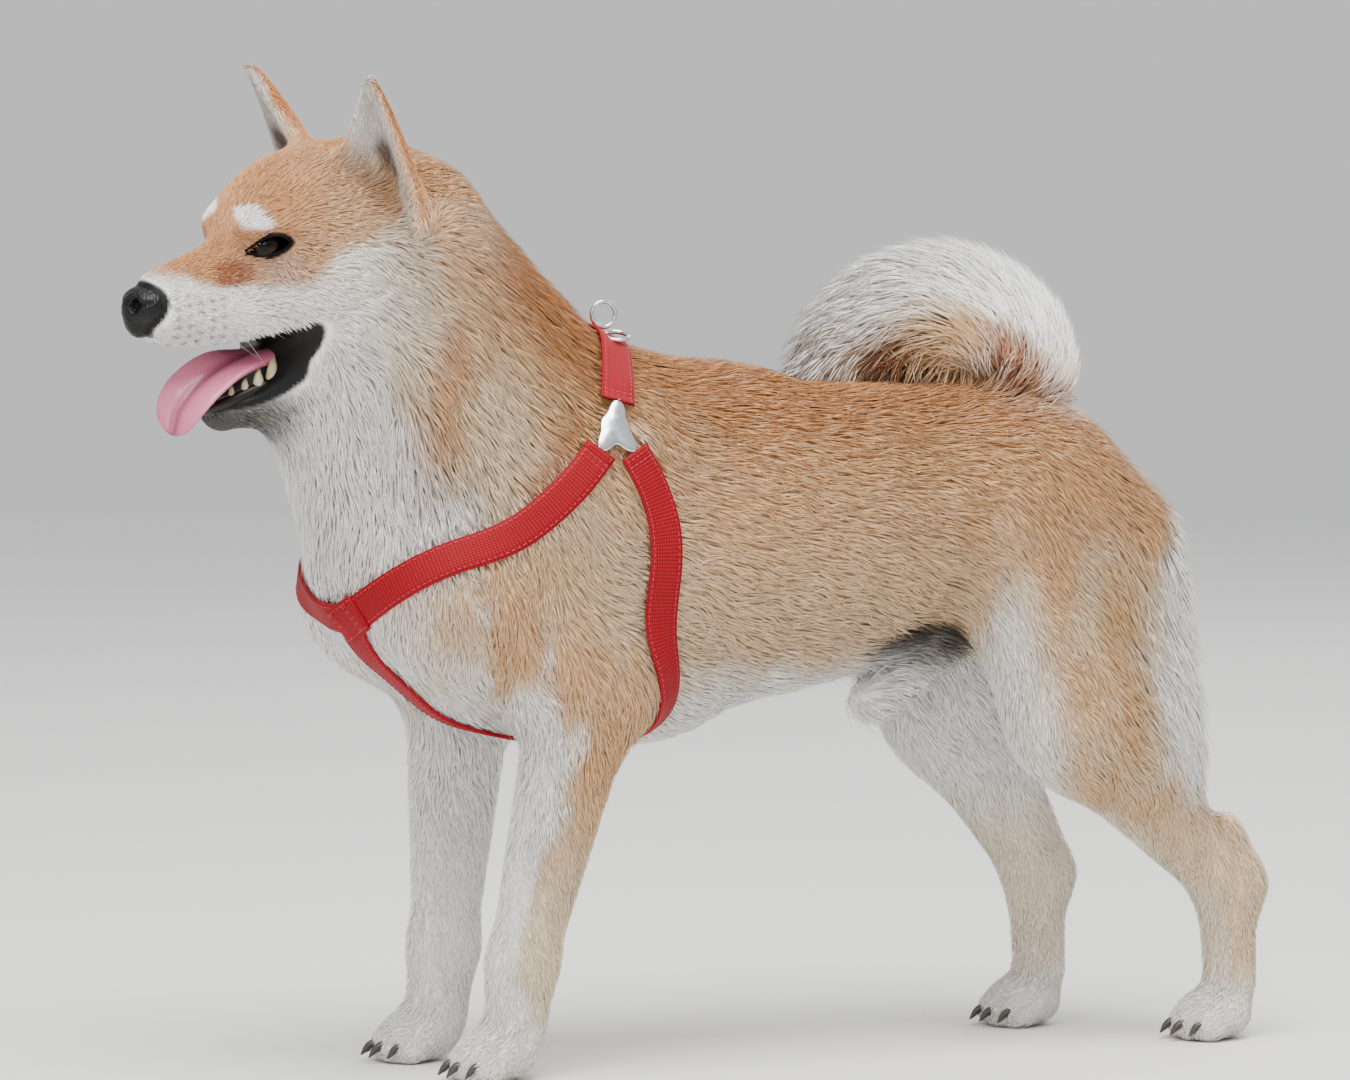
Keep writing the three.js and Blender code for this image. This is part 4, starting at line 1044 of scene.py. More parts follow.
def unwrapped(p, group):
    """Place of each root on its piece's map: the share along its axis, and the share of a turn round it."""
    if group == "tail":
        near = nearest_tail(p)
        r = p - TAIL_LINE[near]
        side = unit(np.cross(TAIL_WAY[near], [0.0, 1.0, 0.2]))
        angle = np.arctan2((r * side).sum(1), (r * np.cross(side, TAIL_WAY[near])).sum(1))
        share = TAIL_T[near]
    else:
        axis = 2 if group in ("fore", "hind", "ears") else 0
        low = p.min(0)
        span = np.maximum(p.max(0) - low, 1e-6)
        a, b = (p[:, o] - (low + span / 2)[o] for o in range(3) if o != axis)
        angle = np.arctan2(a, b)
        share = (p[:, axis] - low[axis]) / span[axis]
    return np.column_stack([0.02 + 0.96 * share, 0.5 + 0.48 * angle / math.pi])


# A tuft's points: three at the root, three half-way and the tip; their faces, tones of painted shade (darker
# at the root, deep in the coat) and spread over the map.
TUFT_FACES = np.array([
    [0, 1, 4], [0, 4, 3], [1, 2, 5], [1, 5, 4], [2, 0, 3], [2, 3, 5],
    [3, 4, 6], [4, 5, 6], [5, 3, 6], [0, 2, 1],
])
# Share of the length where the middle and the tip are, and of the rise there.
TUFT_ROWS = (0.5, 0.62), (1.0, 1.0)
# Least and greatest shares of a tuft's set length, width and rise; how far its way strays.
LONG, WIDE, HIGH, STRAY = (0.72, 1.2), (0.75, 1.25), (0.82, 1.12), 0.16
# Painted shade along each tuft: darker at the root than at the tip.
TUFT_SHADE_TONES = np.array([0.88, 0.88, 0.88, 0.98, 0.98, 0.98, 1.04])
TUFT_SPREAD = np.array([[-1, -1], [1, -1], [0, 1], [-1, 0], [1, 0.3], [0, 0.6], [0.3, 1.0]]) * 0.0015


def tufts(roots, normal, settings, rng):
    """Points and faces of tufts: a ring of three points at the root, one half-way, and a tip.

    The middle line is root + way L s + normal H (1 - (1 - s)^2), moved so that its level over the skin
    follows the coat's depth, and bent once more under the webbing.
    """
    n = len(roots)
    d = parts(roots)
    z = zones(roots)
    share = shares(d)
    way = lie_of_coat(roots, normal, d, z)
    depth = coat_depth(roots, d)
    length = over_parts(share, z, TUFT_LENGTH)
    length *= 1 - 0.55 * soft(-mouth_wedge(to_head(roots)), -10, -3)
    length *= (1 - 0.5 * z["eye"]) * settings.length * rng.uniform(*LONG, n)
    width = over_parts(share, z, TUFT_WIDTH) * rng.uniform(*WIDE, n)
    way = unit(way + STRAY * rng.normal(size=(n, 3)))
    lift = rng.uniform(*HIGH, n) * depth
    lift += over_parts(share, z, TUFT_RISE) * rng.random(n) ** 2
    rows = []
    for s, share_up in TUFT_ROWS:
        q = roots + way * (length * s)[:, None] + normal * (lift * (1 - (1 - s) ** 2))[:, None]
        want = -depth + lift * share_up
        under, cover = webbing_cover(q)
        want = np.where(under, np.minimum(want, cover), want)
        for _ in range(2):
            level = on_points(whole_level, q)
            q = q + normal * np.clip(want - level, -9, 9)[:, None]
        q[:, 2] = np.maximum(q[:, 2], FLOOR_AT + 0.4)
        rows.append(q)
    middle, tip = rows
    half = unit(np.cross(normal, middle - roots)) * (width / 2)[:, None]
    sink = normal * np.minimum(1.2, 0.4 * depth)[:, None]
    thick = normal * (width * 0.22)[:, None]
    points = np.stack([
        roots - half - sink, roots + half - sink, roots + thick - sink,
        middle - 0.85 * half, middle + 0.85 * half, middle + thick, tip,
    ], 1).reshape(-1, 3)
    return points, (np.arange(n)[:, None, None] * 7 + TUFT_FACES).reshape(-1, 3)


def whole_level(p):
    return joined(p, parts(p))


def coat_colours(roots, normal, rng):
    """Seven colours for each tuft: its root's marking in a random tone, with painted shade that makes it
    darker at the root than at the tip.
    """
    n = len(roots)
    base = markings(roots, normal)
    tone = rng.normal(1.0, 0.06, n) + 0.04 * ripple(roots, 12.0, 5)
    base = base * np.clip(tone, 0.7, 1.3)[:, None]
    pale = (rng.random(n) < 0.16) & (base.mean(1) > 0.12)
    base[pale] = base[pale] * 0.7 + CREAM * 0.3
    base[rng.random(n) < 0.04] *= 0.82
    # Painted shade: each tuft darker at its root, where the coat is deepest, and a little lighter at its tip.
    return np.clip(base[:, None, :] * TUFT_SHADE_TONES[None, :, None], 0, 1).reshape(-1, 3)


def coat_roots(settings):
    """All the roots on both nets, none where skin is bare, with their normals."""
    rng = np.random.default_rng(SEED)
    found = []
    for name, (points, faces) in skin_nets().items():
        centre = points[faces].mean(1)
        z = zones(centre)
        density = over_parts(shares(parts(centre)), z, TUFT_DENSITY)
        density = density * (1 + 0.8 * z["eye"]) * settings.density
        q = to_head(centre)
        ahead = (q[:, 0] > -30) & (q[:, 2] > -108)
        density = density * (ahead if name == "head" else ~ahead) * (centre[:, 2] > FLOOR_AT + 1.5)
        density[(bare_share(centre) > 0.5) | (mouth_wedge(q) < 3.2)] = 0
        found.append(rooted(points, faces, density, rng))
    return (np.concatenate(both) for both in zip(*found))


def coat_pieces(roots):
    """Name, kind and roots of each piece, by the part that a root is most of."""
    best = shares(parts(roots)).argmax(0)
    left = roots[:, 1] > 0
    u, v, _ = to_head(roots).T
    face = (best == HEAD) & (u <= 62)
    return [
        ("coat_muzzle", "head", (best == HEAD) & (u > 62)),
        ("coat_face_left", "head", face & (v > 0)),
        ("coat_face_right", "head", face & (v <= 0)),
        ("coat_ears", "ears", best == EAR),
        ("coat_neck", "neck", best == NECK),
        ("coat_trunk_left", "trunk", (best == TRUNK) & left),
        ("coat_trunk_right", "trunk", (best == TRUNK) & ~left),
        ("coat_foreleg_left", "fore", best == FORE_LEFT),
        ("coat_foreleg_right", "fore", best == FORE_RIGHT),
        ("coat_hindleg_left", "hind", best == HIND_LEFT),
        ("coat_hindleg_right", "hind", best == HIND_RIGHT),
        ("coat_tail", "tail", best == TAIL),
    ]


# Harness

STRAP_WIDTH = 19.0
PLATE_SPOT = {1: [77, 62, 359], -1: [77, -62, 359]}
BREAST_SPOT = [200, 16, 268]
GIRTH_SPOT = [72, 0, 194]
# Levels to which straps and plates press the hair, and how far a plate reaches.
UNDER_STRAP, UNDER_PLATE, PLATE_REACH = -1.6, -2.2, 17.0
PLATE_SPOTS = [PLATE_SPOT[1], PLATE_SPOT[-1], BREAST_SPOT, GIRTH_SPOT]
NECK_KNOTS = [95, 72, 340], [114, 74, 323], [140, 70, 302], [164, 60, 287]
GIRTH_KNOTS = [56, 78, 330], [49, 80, 297], [54, 74, 255], [64, 50, 214]


def from_plate(side, knots, *last):
    return [PLATE_SPOT[side], *([x, side * y, z] for x, y, z in knots), *last]


STRAPS = {
    "back_strap": [PLATE_SPOT[1], [66, 36, 386], [60, 0, 400], [66, -36, 386], PLATE_SPOT[-1]],
    "neck_strap_left": from_plate(1, NECK_KNOTS, [186, 40, 276], BREAST_SPOT),
    "neck_strap_right": from_plate(-1, NECK_KNOTS, [190, -28, 274], BREAST_SPOT),
    "girth_strap_left": from_plate(1, GIRTH_KNOTS, GIRTH_SPOT),
    "girth_strap_right": from_plate(-1, GIRTH_KNOTS, GIRTH_SPOT),
    "sternum_strap": [BREAST_SPOT, [186, 6, 239], [164, 2, 210], [140, 0, 196], [110, 0, 190], GIRTH_SPOT],
}


def on_body(p, rise=0.0):
    """Points moved along the body's gradient until they stand a given height over it."""
    p = np.array(p, float).reshape(-1, 3)
    for _ in range(6):
        p = p - unit(slope(body_form, p)) * (body_form(p) - rise)[:, None]
    return p


RUNS = {}
STATIONS = 73


def strap_runs():
    """Each strap's middle line and its outward, sideways and forward directions, at its stations."""
    if not RUNS:
        for name, knots in STRAPS.items():
            line, _ = catmull(on_body(knots), STATIONS)
            line = on_body(line)
            for _ in range(60):
                line[1:-1] = (line[:-2] + 2 * line[1:-1] + line[2:]) / 4
            line[1:-1] = on_body(line[1:-1])
            up = unit(slope(body_form, line))
            way = unit(np.gradient(line, axis=0))
            RUNS[name] = line, up, unit(np.cross(up, way)), way
    return RUNS


def webbing_cover(p):
    """Whether points lie under a strap or plate, and the level that they must stay below there."""
    under = np.zeros(len(p), bool)
    level = np.full(len(p), 99.0)
    edge = STRAP_WIDTH / 2
    stations = [np.concatenate(column) for column in zip(*strap_runs().values())]
    for centre, up, side, way in zip(*stations):
        r = p - centre
        across = np.abs(r @ side)
        hit = (np.abs(r @ way) < 4.5) & (np.abs(r @ up) < 16) & (across < edge + 1.5)
        under |= hit
        pressed = UNDER_STRAP + 4.0 * soft(across[hit], edge - 2.5, edge + 1.5)
        level[hit] = np.minimum(level[hit], pressed)
    for centre in on_body(PLATE_SPOTS):
        hit = np.linalg.norm(p - centre, axis=1) < PLATE_REACH
        under |= hit
        level[hit] = UNDER_PLATE
    return under, level


# Lofts: rings of points joined into closed shapes

def lofted(rows, ring=False):
    """Points and triangles of a loft through rings of points, with closed ends unless it joins up itself."""
    rows = np.asarray(rows, float)
    m, n = rows.shape[:2]
    i, j = np.meshgrid(np.arange(m if ring else m - 1), np.arange(n), indexing="ij")
    here, after, turn = i * n, (i + 1) % m * n, (j + 1) % n
    a, b, c, e = here + j, here + turn, after + turn, after + j
    faces = np.stack([a, b, c, a, c, e], -1).reshape(-1, 3)
    points = rows.reshape(-1, 3)
    if not ring:
        k, last = np.arange(n), (m - 1) * n
        points = np.vstack([points, rows[0].mean(0), rows[-1].mean(0)])
        ends = [[(k + 1) % n, k, np.full(n, m * n)], [last + k, last + (k + 1) % n, np.full(n, m * n + 1)]]
        faces = np.vstack([faces, *[np.stack(end, -1) for end in ends]])
    p = points[faces] - points.mean(0)
    if np.einsum("ij,ij->i", p[:, 0], np.cross(p[:, 1], p[:, 2])).sum() < 0:
        faces = faces[:, ::-1]
    return points, faces


def circle(count):
    return np.arange(count) / count * 2 * math.pi


def wheel(angle, a, b):
    """Directions round a circle, from a towards b."""
    return np.cos(angle)[:, None] * a + np.sin(angle)[:, None] * b


def tube(line, radius, around, up, ring=False):
    """A round section of a given radius at each point of a line."""
    line = np.asarray(line, float)
    if ring:
        way = unit(np.roll(line, -1, 0) - np.roll(line, 1, 0))
    else:
        way = unit(np.gradient(line, axis=0))
    side = unit(np.cross(way, np.broadcast_to(up, line.shape)))
    rise = np.cross(side, way)
    angle = circle(around)
    radius = np.broadcast_to(radius, len(line))[:, None, None]
    cos, sin = (turn(angle)[None, :, None] for turn in (np.cos, np.sin))
    return lofted(line[:, None] + radius * (cos * side[:, None] + sin * rise[:, None]), ring)


def gathered(shapes):
    """Several shapes as one list of points and one of faces."""
    points, faces = zip(*shapes)
    starts = np.cumsum([0] + [len(p) for p in points[:-1]])
    return np.vstack(points), np.vstack([f + start for f, start in zip(faces, starts)])


# Nose, eyes, mouth and claws

nose_form = blend(4, mass([116, 0, -36], [13, 15.5, 11]), mass([119, 0, -43], [9, 7, 10]))


def nose_field(p):
    """Nose leather: two rounded masses, less the nostrils, their side slits and the groove between them."""
    q = to_head(p)
    side = np.abs(q[:, 1])
    m = np.column_stack([q[:, 0], side, q[:, 2]])
    hole = mass([128, 7.2, -35.5], [8, 3.4, 3.9])(m)
    slit = bone([127, 9, -35.5], [121, 15, -33.5], 1.5, 0.6)(m)
    groove = bone([133, 0, -40], [124, 0, -55], 0.8, 0.9)(m)
    cut = smooth_min(smooth_min(hole, slit, 1.5), groove, 1.0)
    grown = nose_form(q) - 0.25 - 0.12 * ripple(p, 2.4, 31)
    return -smooth_min(-grown, cut, 1.6)


def eyeball(side):
    """A ball turned about its line of sight; the cornea stands out by 0.5 mm x exp(-(angle / 0.5)^2)."""
    centre, out, back, up = EYES[side]
    gaze = unit(out - 0.10 * back)
    a = unit(np.cross(up, gaze))
    b = np.cross(gaze, a)
    theta = np.linspace(0.02, math.pi - 0.02, 56)
    radius = (EYE_RADIUS + 0.5 * np.exp(-(theta / 0.5) ** 2))[:, None, None]
    cos, sin = np.cos(theta)[:, None, None], np.sin(theta)[:, None, None]
    points, faces = lofted(centre + radius * (cos * gaze + sin * wheel(circle(64), a, b)))
    angle = np.arccos(np.clip(unit(points - centre) @ gaze, -1, 1))
    turn = np.arctan2((points - centre) @ b, (points - centre) @ a)
    iris = linear("#1E0D05") * (1 + 0.25 * np.sin(turn * 23 + 2 * np.sin(turn * 7)))[:, None]
    return points, faces, painted(
        linear("#060505"),
        (iris, soft(angle, 0.26, 0.30)),
        (linear("#0A0504"), soft(angle, 0.50, 0.58)),
        (linear("#1C1210"), soft(angle, 0.86, 1.0)),
    )


def lid_rim(side):
    """A tube 1.8 mm thick along the opening between the lids, laid on the skin."""
    centre, out, back, up = EYES[side]
    line = centre + LID_LINE[:, :1] * back + LID_LINE[:, 1:] * up + out * 14.0
    for _ in range(12):
        line = line - out * (skin_form(line) - 0.3)[:, None] * 0.7
    for _ in range(2):
        line = (np.roll(line, 1, 0) + 2 * line + np.roll(line, -1, 0)) / 4
    return tube(line, 0.9, 12, out, ring=True)


GUM_LINE = [43, 18.5, -75], [55, 15.5, -80.5], [69, 11.5, -87], [81, 7, -91.5]
TONGUE_LINE = [[34, 4, -61], [54, 5, -65], [72, 6, -70.5], [88, 8, -80], [99, 9.5, -92], [104, 11, -105]]
# Root, height and radius of each lower tooth on the left.
TEETH = [
    ([79, 8, -87], 7, 2.1), ([69, 11.5, -82.5], 3.4, 2.1), ([62, 13.5, -79.5], 5.0, 2.5),
    ([55, 15.5, -76], 6.6, 3.2), ([47.5, 18, -71], 8.0, 4.0), ([83, 3.4, -88.5], 3.0, 1.4),
    ([82, 6.2, -88], 3.0, 1.4),
]
# Where the tongue's blade ends and its round tip starts, as a share of its length.
TONGUE_TIP = 0.72


def tongue_shape():
    """A flat loft, grooved and rolled to the left: its half width is 13 + 3.5 s up to the round tip."""
    rows = 48
    line, way = catmull(TONGUE_LINE, rows)
    s = np.linspace(0, 1, rows)
    left = np.array([0, 1.0, 0])
    up = unit(np.cross(way, left))
    tip = np.sqrt(np.clip(1 - ((s - TONGUE_TIP) / 0.285) ** 2, 0.015, 1))
    wide = np.where(s < TONGUE_TIP, 13 + 3.5 * s, 15.5 * tip)[:, None]
    thick = np.where(s < TONGUE_TIP, 5.4 - 3.6 * s, 2.8 * np.sqrt(tip))[:, None]
    angle = -circle(36)
    across = np.cos(angle)[None] * wide
    rise = np.sin(angle)[None] * thick
    groove = np.exp(-(across / 2.2) ** 2) * (np.sin(angle) > 0)[None] * np.minimum(thick * 0.75, 2.2)
    curl = 0.012 * across ** 2 * soft(s, 0.1, 0.5)[:, None]
    roll = (0.62 * soft(s, 0.05, 0.6))[:, None]
    level = left * np.cos(roll) - up * np.sin(roll)
    up = up * np.cos(roll) + left * np.sin(roll)
    height = (rise - groove + curl)[..., None] * up[:, None]
    points, faces = lofted(line[:, None] + across[..., None] * level[:, None] + height)
    crown = np.append(np.tile(np.sin(angle), rows), [0, 0])
    middle = np.append(np.exp(-(across / 3.0) ** 2).ravel(), [0, 0])
    return from_head(points), faces, painted(
        linear("#9A4A5C"),
        (linear("#C76C86"), soft(crown, -0.4, 0.4)),
        (linear("#7E3450"), 0.8 * middle * soft(crown, 0, 0.5)),
    )


def horn(path, radius, up):
    """A pointed round shape along a path of three points: radius x (1 - s^1.7)^0.8 + 0.15 mm."""
    line, _ = catmull(path, 14)
    s = np.linspace(0, 1, 14)
    return tube(line, radius * (1 - s ** 1.7) ** 0.8 + 0.15, 12, up)


def teeth_shapes():
    made = []
    for side in (1, -1):
        for (u, v, w), high, wide in TEETH:
            path = [[u, v, w - 4], [u + 0.6, v + 0.4, w + high * 0.5], [u - 0.4, v - 0.2, w + high]]
            made.append(horn(from_head([side_of(side, spot) for spot in path]), wide, HEAD_U))
    return gathered(made)


def gum_shapes():
    """A round ridge under each row of teeth, along a curve, of radius 4 mm x sin(angle)^0.3."""
    made = []
    for side in (1, -1):
        path = [side_of(side, spot) for spot in GUM_LINE]
        line, _ = catmull(from_head(path), 24)
        made.append(tube(line, 4.0 * np.sin(np.linspace(0.25, math.pi - 0.25, 24)) ** 0.3, 16, HEAD_W))
    return gathered(made)


# Millimetres in front of the toe, share of its place across, and height above the floor.
CLAW_PATH = (2, 1, 10), (9, 1, 9), (14.5, 1.02, 3.6)


def claw_shapes():
    made = []
    for joints in (*FORE.values(), *HIND.values()):
        x, y, _ = joints["toes"]
        for across, reach in zip(TOE_SPREAD, TOE_REACH):
            path = [[x + reach + ahead, y + across * out, FLOOR_AT + up] for ahead, out, up in CLAW_PATH]
            made.append(horn(path, 2.9, [0.0, 1.0, 0.0]))
    return gathered(made)


def whisker_shapes():
    """Long stiff hairs on both sides of the muzzle: thin tapered tubes that bend down with the square."""
    rng = np.random.default_rng(SEED + 5)
    made = []
    for side in (1, -1):
        for _ in range(7):
            spot = from_head(side_of(side, [rng.uniform(84, 108), 24, rng.uniform(-52, -36)]))[None]
            inward = turned(side_of(side, [0, -1, 0]))
            for _ in range(20):
                spot = spot + inward * (skin_form(spot) * 0.8)[:, None]
            way = unit(turned(side_of(side, [rng.uniform(-0.9, -0.2), 1.0, rng.uniform(-0.5, 0.3)])))
            s = np.linspace(0, 1, 12)[:, None]
            long = rng.uniform(26, 44)
            line = spot + way * s * long + np.array([0, 0, -1.0]) * 0.25 * long * s ** 2
            made.append(tube(line, 0.2 * (1 - 0.85 * s[:, 0]), 5, [0.1, 0.2, 1.0]))
    return gathered(made)


# Webbing and metal

def near_plate(line):
    """Millimetres from each station to the nearest of the four plates."""
    return np.min([np.linalg.norm(line - centre, axis=1) for centre in on_body(PLATE_SPOTS)], axis=0)


# Places round a strap's section, in half widths, and the share of its thickness at each.
RIBBON = np.array([-1, -0.96, -0.5, 0, 0.5, 0.96, 1, 0.96, 0.5, 0, -0.5, -0.96])
RIBBON_OUTER = np.array([0.5, 1.0, 1, 1, 1, 1.0, 0.5, 0, 0, 0, 0, 0])
EDGE_LOW, MIDDLE, EDGE_HIGH, MIDDLE_UNDER = 2, 3, 4, 9
# Millimetres along a dash of thread and its radius there; from dash to dash; from a strap's ends to its bars.
DASH = (-1.2, 0.12), (-0.8, 0.34), (0.8, 0.34), (1.2, 0.12)
STITCH_STEP, BARS_AT = 3.4, (5.0, 8.0)


def ribbon(seat, rise, lift, run, half_width):
    """A strap's loft, its map in metres along and across, and the rings and lengths that its seams follow."""
    rows = (seat + rise * lift.ravel()[:, None]).reshape(len(run), len(RIBBON), 3)
    points, faces = lofted(rows)
    uv = np.stack(np.broadcast_arrays(run[:, None], (RIBBON * half_width)[None]), -1).reshape(-1, 2) * MM
    return points, faces, np.vstack([uv, uv[:1], uv[-1:]]), (rows, run - run[0])


def strap_shape(name):
    """A ribbon 19 mm wide and 1.8 mm thick with rounded edges, raised over the arms of its plates."""
    line, up, side, _ = strap_runs()[name]
    far = near_plate(line)
    from_breast = np.linalg.norm(line - on_body(BREAST_SPOT)[0], axis=1)
    keep = (far > 14.0) | (from_breast < 12.0)
    line, up, side, far, from_breast = (part[keep] for part in (line, up, side, far, from_breast))
    raised = 2.4 * soft(-far, -21, -15) * soft(from_breast, 24, 30)
    half = STRAP_WIDTH / 2
    flat = (line[:, None] + side[:, None] * (RIBBON * half)[None, :, None]).reshape(-1, 3)
    rise = np.repeat(up, len(RIBBON), 0)
    seat = flat - rise * np.clip(body_form(flat), -3, 3)[:, None]
    run = np.concatenate([[0], np.cumsum(np.linalg.norm(np.diff(line, axis=0), axis=1))])
    return ribbon(seat, rise, -0.4 + raised[:, None] + 1.8 * RIBBON_OUTER[None], run, half)


def breast_patch():
    """The piece of webbing folded over the ends of three straps: a ribbon 26 mm long across the breast."""
    line, _, side, way = (part[-1] for part in strap_runs()["neck_strap_left"])
    run = np.linspace(-13, 13, 15)
    spots = line + run[:, None] * unit(way)
    seat = on_body((spots[:, None] + side * (RIBBON * 11.0)[None, :, None]).reshape(-1, 3))
    ends = 1.0 - 0.5 * (np.abs(run) > 12.5)
    lift = 1.3 + 1.7 * RIBBON_OUTER[None] * ends[:, None]
    return ribbon(seat, unit(slope(body_form, seat)), lift, run, 11.0)


def stitches(rows, run):
    """Dashes of thread 2.4 mm long, 3.4 mm apart, in two rows on the outer face, and bars across each end."""
    marks = np.arange(2.0, run[-1] - 2.0, STITCH_STEP)
    middle = rows[:, MIDDLE]
    way_all = unit(np.gradient(middle, axis=0))
    up_all = unit(middle - rows[:, MIDDLE_UNDER])
    lists = spots, ways, ups = [], [], []
    for column in (EDGE_LOW, EDGE_HIGH):
        edge = rows[:, column] + (rows[:, column] - middle) * 0.55
        for target, source in zip(lists, (edge, way_all, up_all)):
            target.append(np.column_stack([np.interp(marks, run, source[:, c]) for c in range(3)]))
    for end in (*BARS_AT, *(run[-1] - np.array(BARS_AT)[::-1])):
        index = np.argmin(np.abs(run - end))
        across = rows[index, EDGE_HIGH] - middle[index]
        spots.append(middle[index] + across * 2 * np.linspace(-0.7, 0.7, 5)[:, None])
        ways.append(np.tile(unit(across), (5, 1)))
        ups.append(np.tile(up_all[index], (5, 1)))
    spot, way, up = np.vstack(spots), unit(np.vstack(ways)), unit(np.vstack(ups))
    side = unit(np.cross(up, way))
    dashes = []
    for ahead, size in DASH:
        ring = [math.cos(a) * side + math.sin(a) * up for a in circle(6)]
        dashes.append(np.stack([spot + ahead * way + size * r for r in ring], 1))
    points = np.stack(dashes, 1)
    base, faces = lofted(points[0])
    caps = np.stack([points[:, 0].mean(1), points[:, -1].mean(1)], 1)
    cloud = np.concatenate([points.reshape(len(spot), -1, 3), caps], 1)
    starts = np.arange(len(spot))[:, None, None] * len(base)
    return cloud.reshape(-1, 3), (starts + faces[None]).reshape(-1, 3)


# Share of the reach and height in millimetres, from a plate's crown over its edge to its underside.
PLATE_PROFILE = [
    (0.03, 2.9), (0.35, 2.85), (0.7, 2.6), (0.9, 2.3), (0.98, 1.9),
    (1.0, 1.2), (0.97, 0.5), (0.7, 0.3), (0.35, 0.3), (0.03, 0.3),
]


def plate_shape(spot, names):
    """A plate with an arm to each strap: radius 8.5 + 9 x the sum of exp(-(angle from an arm / 0.42)^2)."""
    centre = on_body(spot)[0]
    up = unit(slope(body_form, centre[None]))[0]
    a = unit(np.cross(up, [0.3, 0.2, 1.0]))
    b = np.cross(up, a)
    arms = []
    for name in names:
        line = strap_runs()[name][0]
        end = line if np.linalg.norm(line[0] - centre) < np.linalg.norm(line[-1] - centre) else line[::-1]
        r = end[8] - centre
        arms.append(math.atan2(r @ b, r @ a))
    angle = circle(120)
    away = np.array([np.abs((angle - arm + math.pi) % (2 * math.pi) - math.pi) for arm in arms])
    reach = 8.5 + 9.0 * np.exp(-(away / 0.42) ** 2).sum(0)
    share, height = np.array(PLATE_PROFILE).T
    flat = (share[:, None] * reach[None])[..., None] * wheel(angle, a, b)[None]
    return lofted(centre + flat + height[:, None, None] * up)


PLATES = {
    "plate_left": (PLATE_SPOT[1], ["back_strap", "neck_strap_left", "girth_strap_left"]),
    "plate_right": (PLATE_SPOT[-1], ["back_strap", "neck_strap_right", "girth_strap_right"]),
    "girth_plate": (GIRTH_SPOT, ["girth_strap_left", "girth_strap_right", "sternum_strap"]),
}


def ring_shape(centre, axis, radius, thick):
    axis = unit(np.array(axis, float))
    a = unit(np.cross(axis, [0.2, 0.1, 1.0]))
    b = np.cross(axis, a)
    return tube(centre + radius * wheel(circle(64), a, b), thick, 16, axis, ring=True)


# Solid finishes

PLAIN = {
    # Thin black skin on the rims of the lids, nearly matt.
    "lid_skin": plain("#030202", 0.8, 0.2, Roughness=0.5, Specular_IOR_Level=0.12),
    # Enamel: hard, smooth and a little yellow.
    "tooth_enamel": plain("#CDBF96", 3.0, 0.1, Roughness=0.3, IOR=1.62),
    # Gums: dark wet flesh.
    "gum_flesh": plain("#160B0D", 2.0, 0.1, Roughness=0.4, IOR=1.4),
    # Whiskers: stiff pale keratin.
    "whisker_hair": plain("#B8AFA4", 4.0, 0.05, Roughness=0.45, IOR=1.55),
    # Claws: dark horn with faint growth lines.
    "claw_horn": plain("#3B322C", 1.5, 0.15, Roughness=0.42, IOR=1.54),
    # Thread: dyed polyester, a little glossier than the webbing.
    "polyester_thread": plain("#B81C2E", 0.6, 0.1, Roughness=0.5),
}


# Settings, operators and panel

class ShibaSettings(PropertyGroup):
    length: FloatProperty(
        name="Coat length", description="Length of the hair against a full coat",
        default=1.0, min=0.4, max=1.4, subtype="FACTOR")
    density: FloatProperty(
        name="Coat density", description="Tufts for each area against a full coat",
        default=0.9, min=0.1, max=1.2, subtype="FACTOR")
    distance: FloatProperty(
        name="Camera distance", description="From the camera to the middle of the dog",
        default=4.0, unit="LENGTH", subtype="DISTANCE")
    azimuth: FloatProperty(
        name="Camera azimuth", description="Turn of the camera about the upright",
        default=math.radians(156), unit="ROTATION", subtype="ANGLE")
    elevation: FloatProperty(
        name="Camera elevation", description="Height of the camera as an angle",
        default=math.radians(3.5), unit="ROTATION", subtype="ANGLE")
    webbing: FloatVectorProperty(
        name="Webbing", description="Colour of the harness straps",
        size=3, subtype="COLOR", default=tuple(map(float, linear("#A80018"))))
    floor: FloatVectorProperty(
        name="Floor", description="Colour of the floor and backdrop",
        size=3, subtype="COLOR", default=tuple(map(float, linear("#E4E2DE"))))


class SHIBA_OT_skin(Operator):
    """Skin under the coat: one closed net over the body and one over the head"""
    bl_idname = "shiba.skin"
    bl_label = "Skin"

    def execute(self, context):
        colours = []
        for points, _ in skin_nets().values():
            bare = bare_share(points)
            tint = mixed(markings(points, unit(slope(whole_form, points))) * 0.95, BLACK * 1.6, bare)
            colours.append(np.column_stack([tint, bare]))
        points, faces = gathered(skin_nets().values())
        material = finish_of("skin", skin)
        new_mesh("skin", points, faces, material, "cream_coat", FLESH, colour=np.vstack(colours))
        return {"FINISHED"}


class SHIBA_OT_coat(Operator):
    """Coat: tufts of hair over the whole skin, in twelve pieces"""
    bl_idname = "shiba.coat"
    bl_label = "Coat"

    def execute(self, context):
        settings = context.scene.shiba
        roots, normal = coat_roots(settings)
        rng = np.random.default_rng(SEED + 1)
        material = finish_of("hair", hair)
        for name, kind, mask in coat_pieces(roots):
            here, out = roots[mask], normal[mask]
            points, faces = tufts(here, out, settings, rng)
            colour = coat_colours(here, out, rng)
            uv = (unwrapped(here, kind)[:, None] + TUFT_SPREAD[None]).reshape(-1, 2)
            slot = "cream_coat" if kind == "tail" else "red_coat"
            new_mesh(name, points, faces, material, slot, colour=colour, uv=("OFBake", uv))
        return {"FINISHED"}


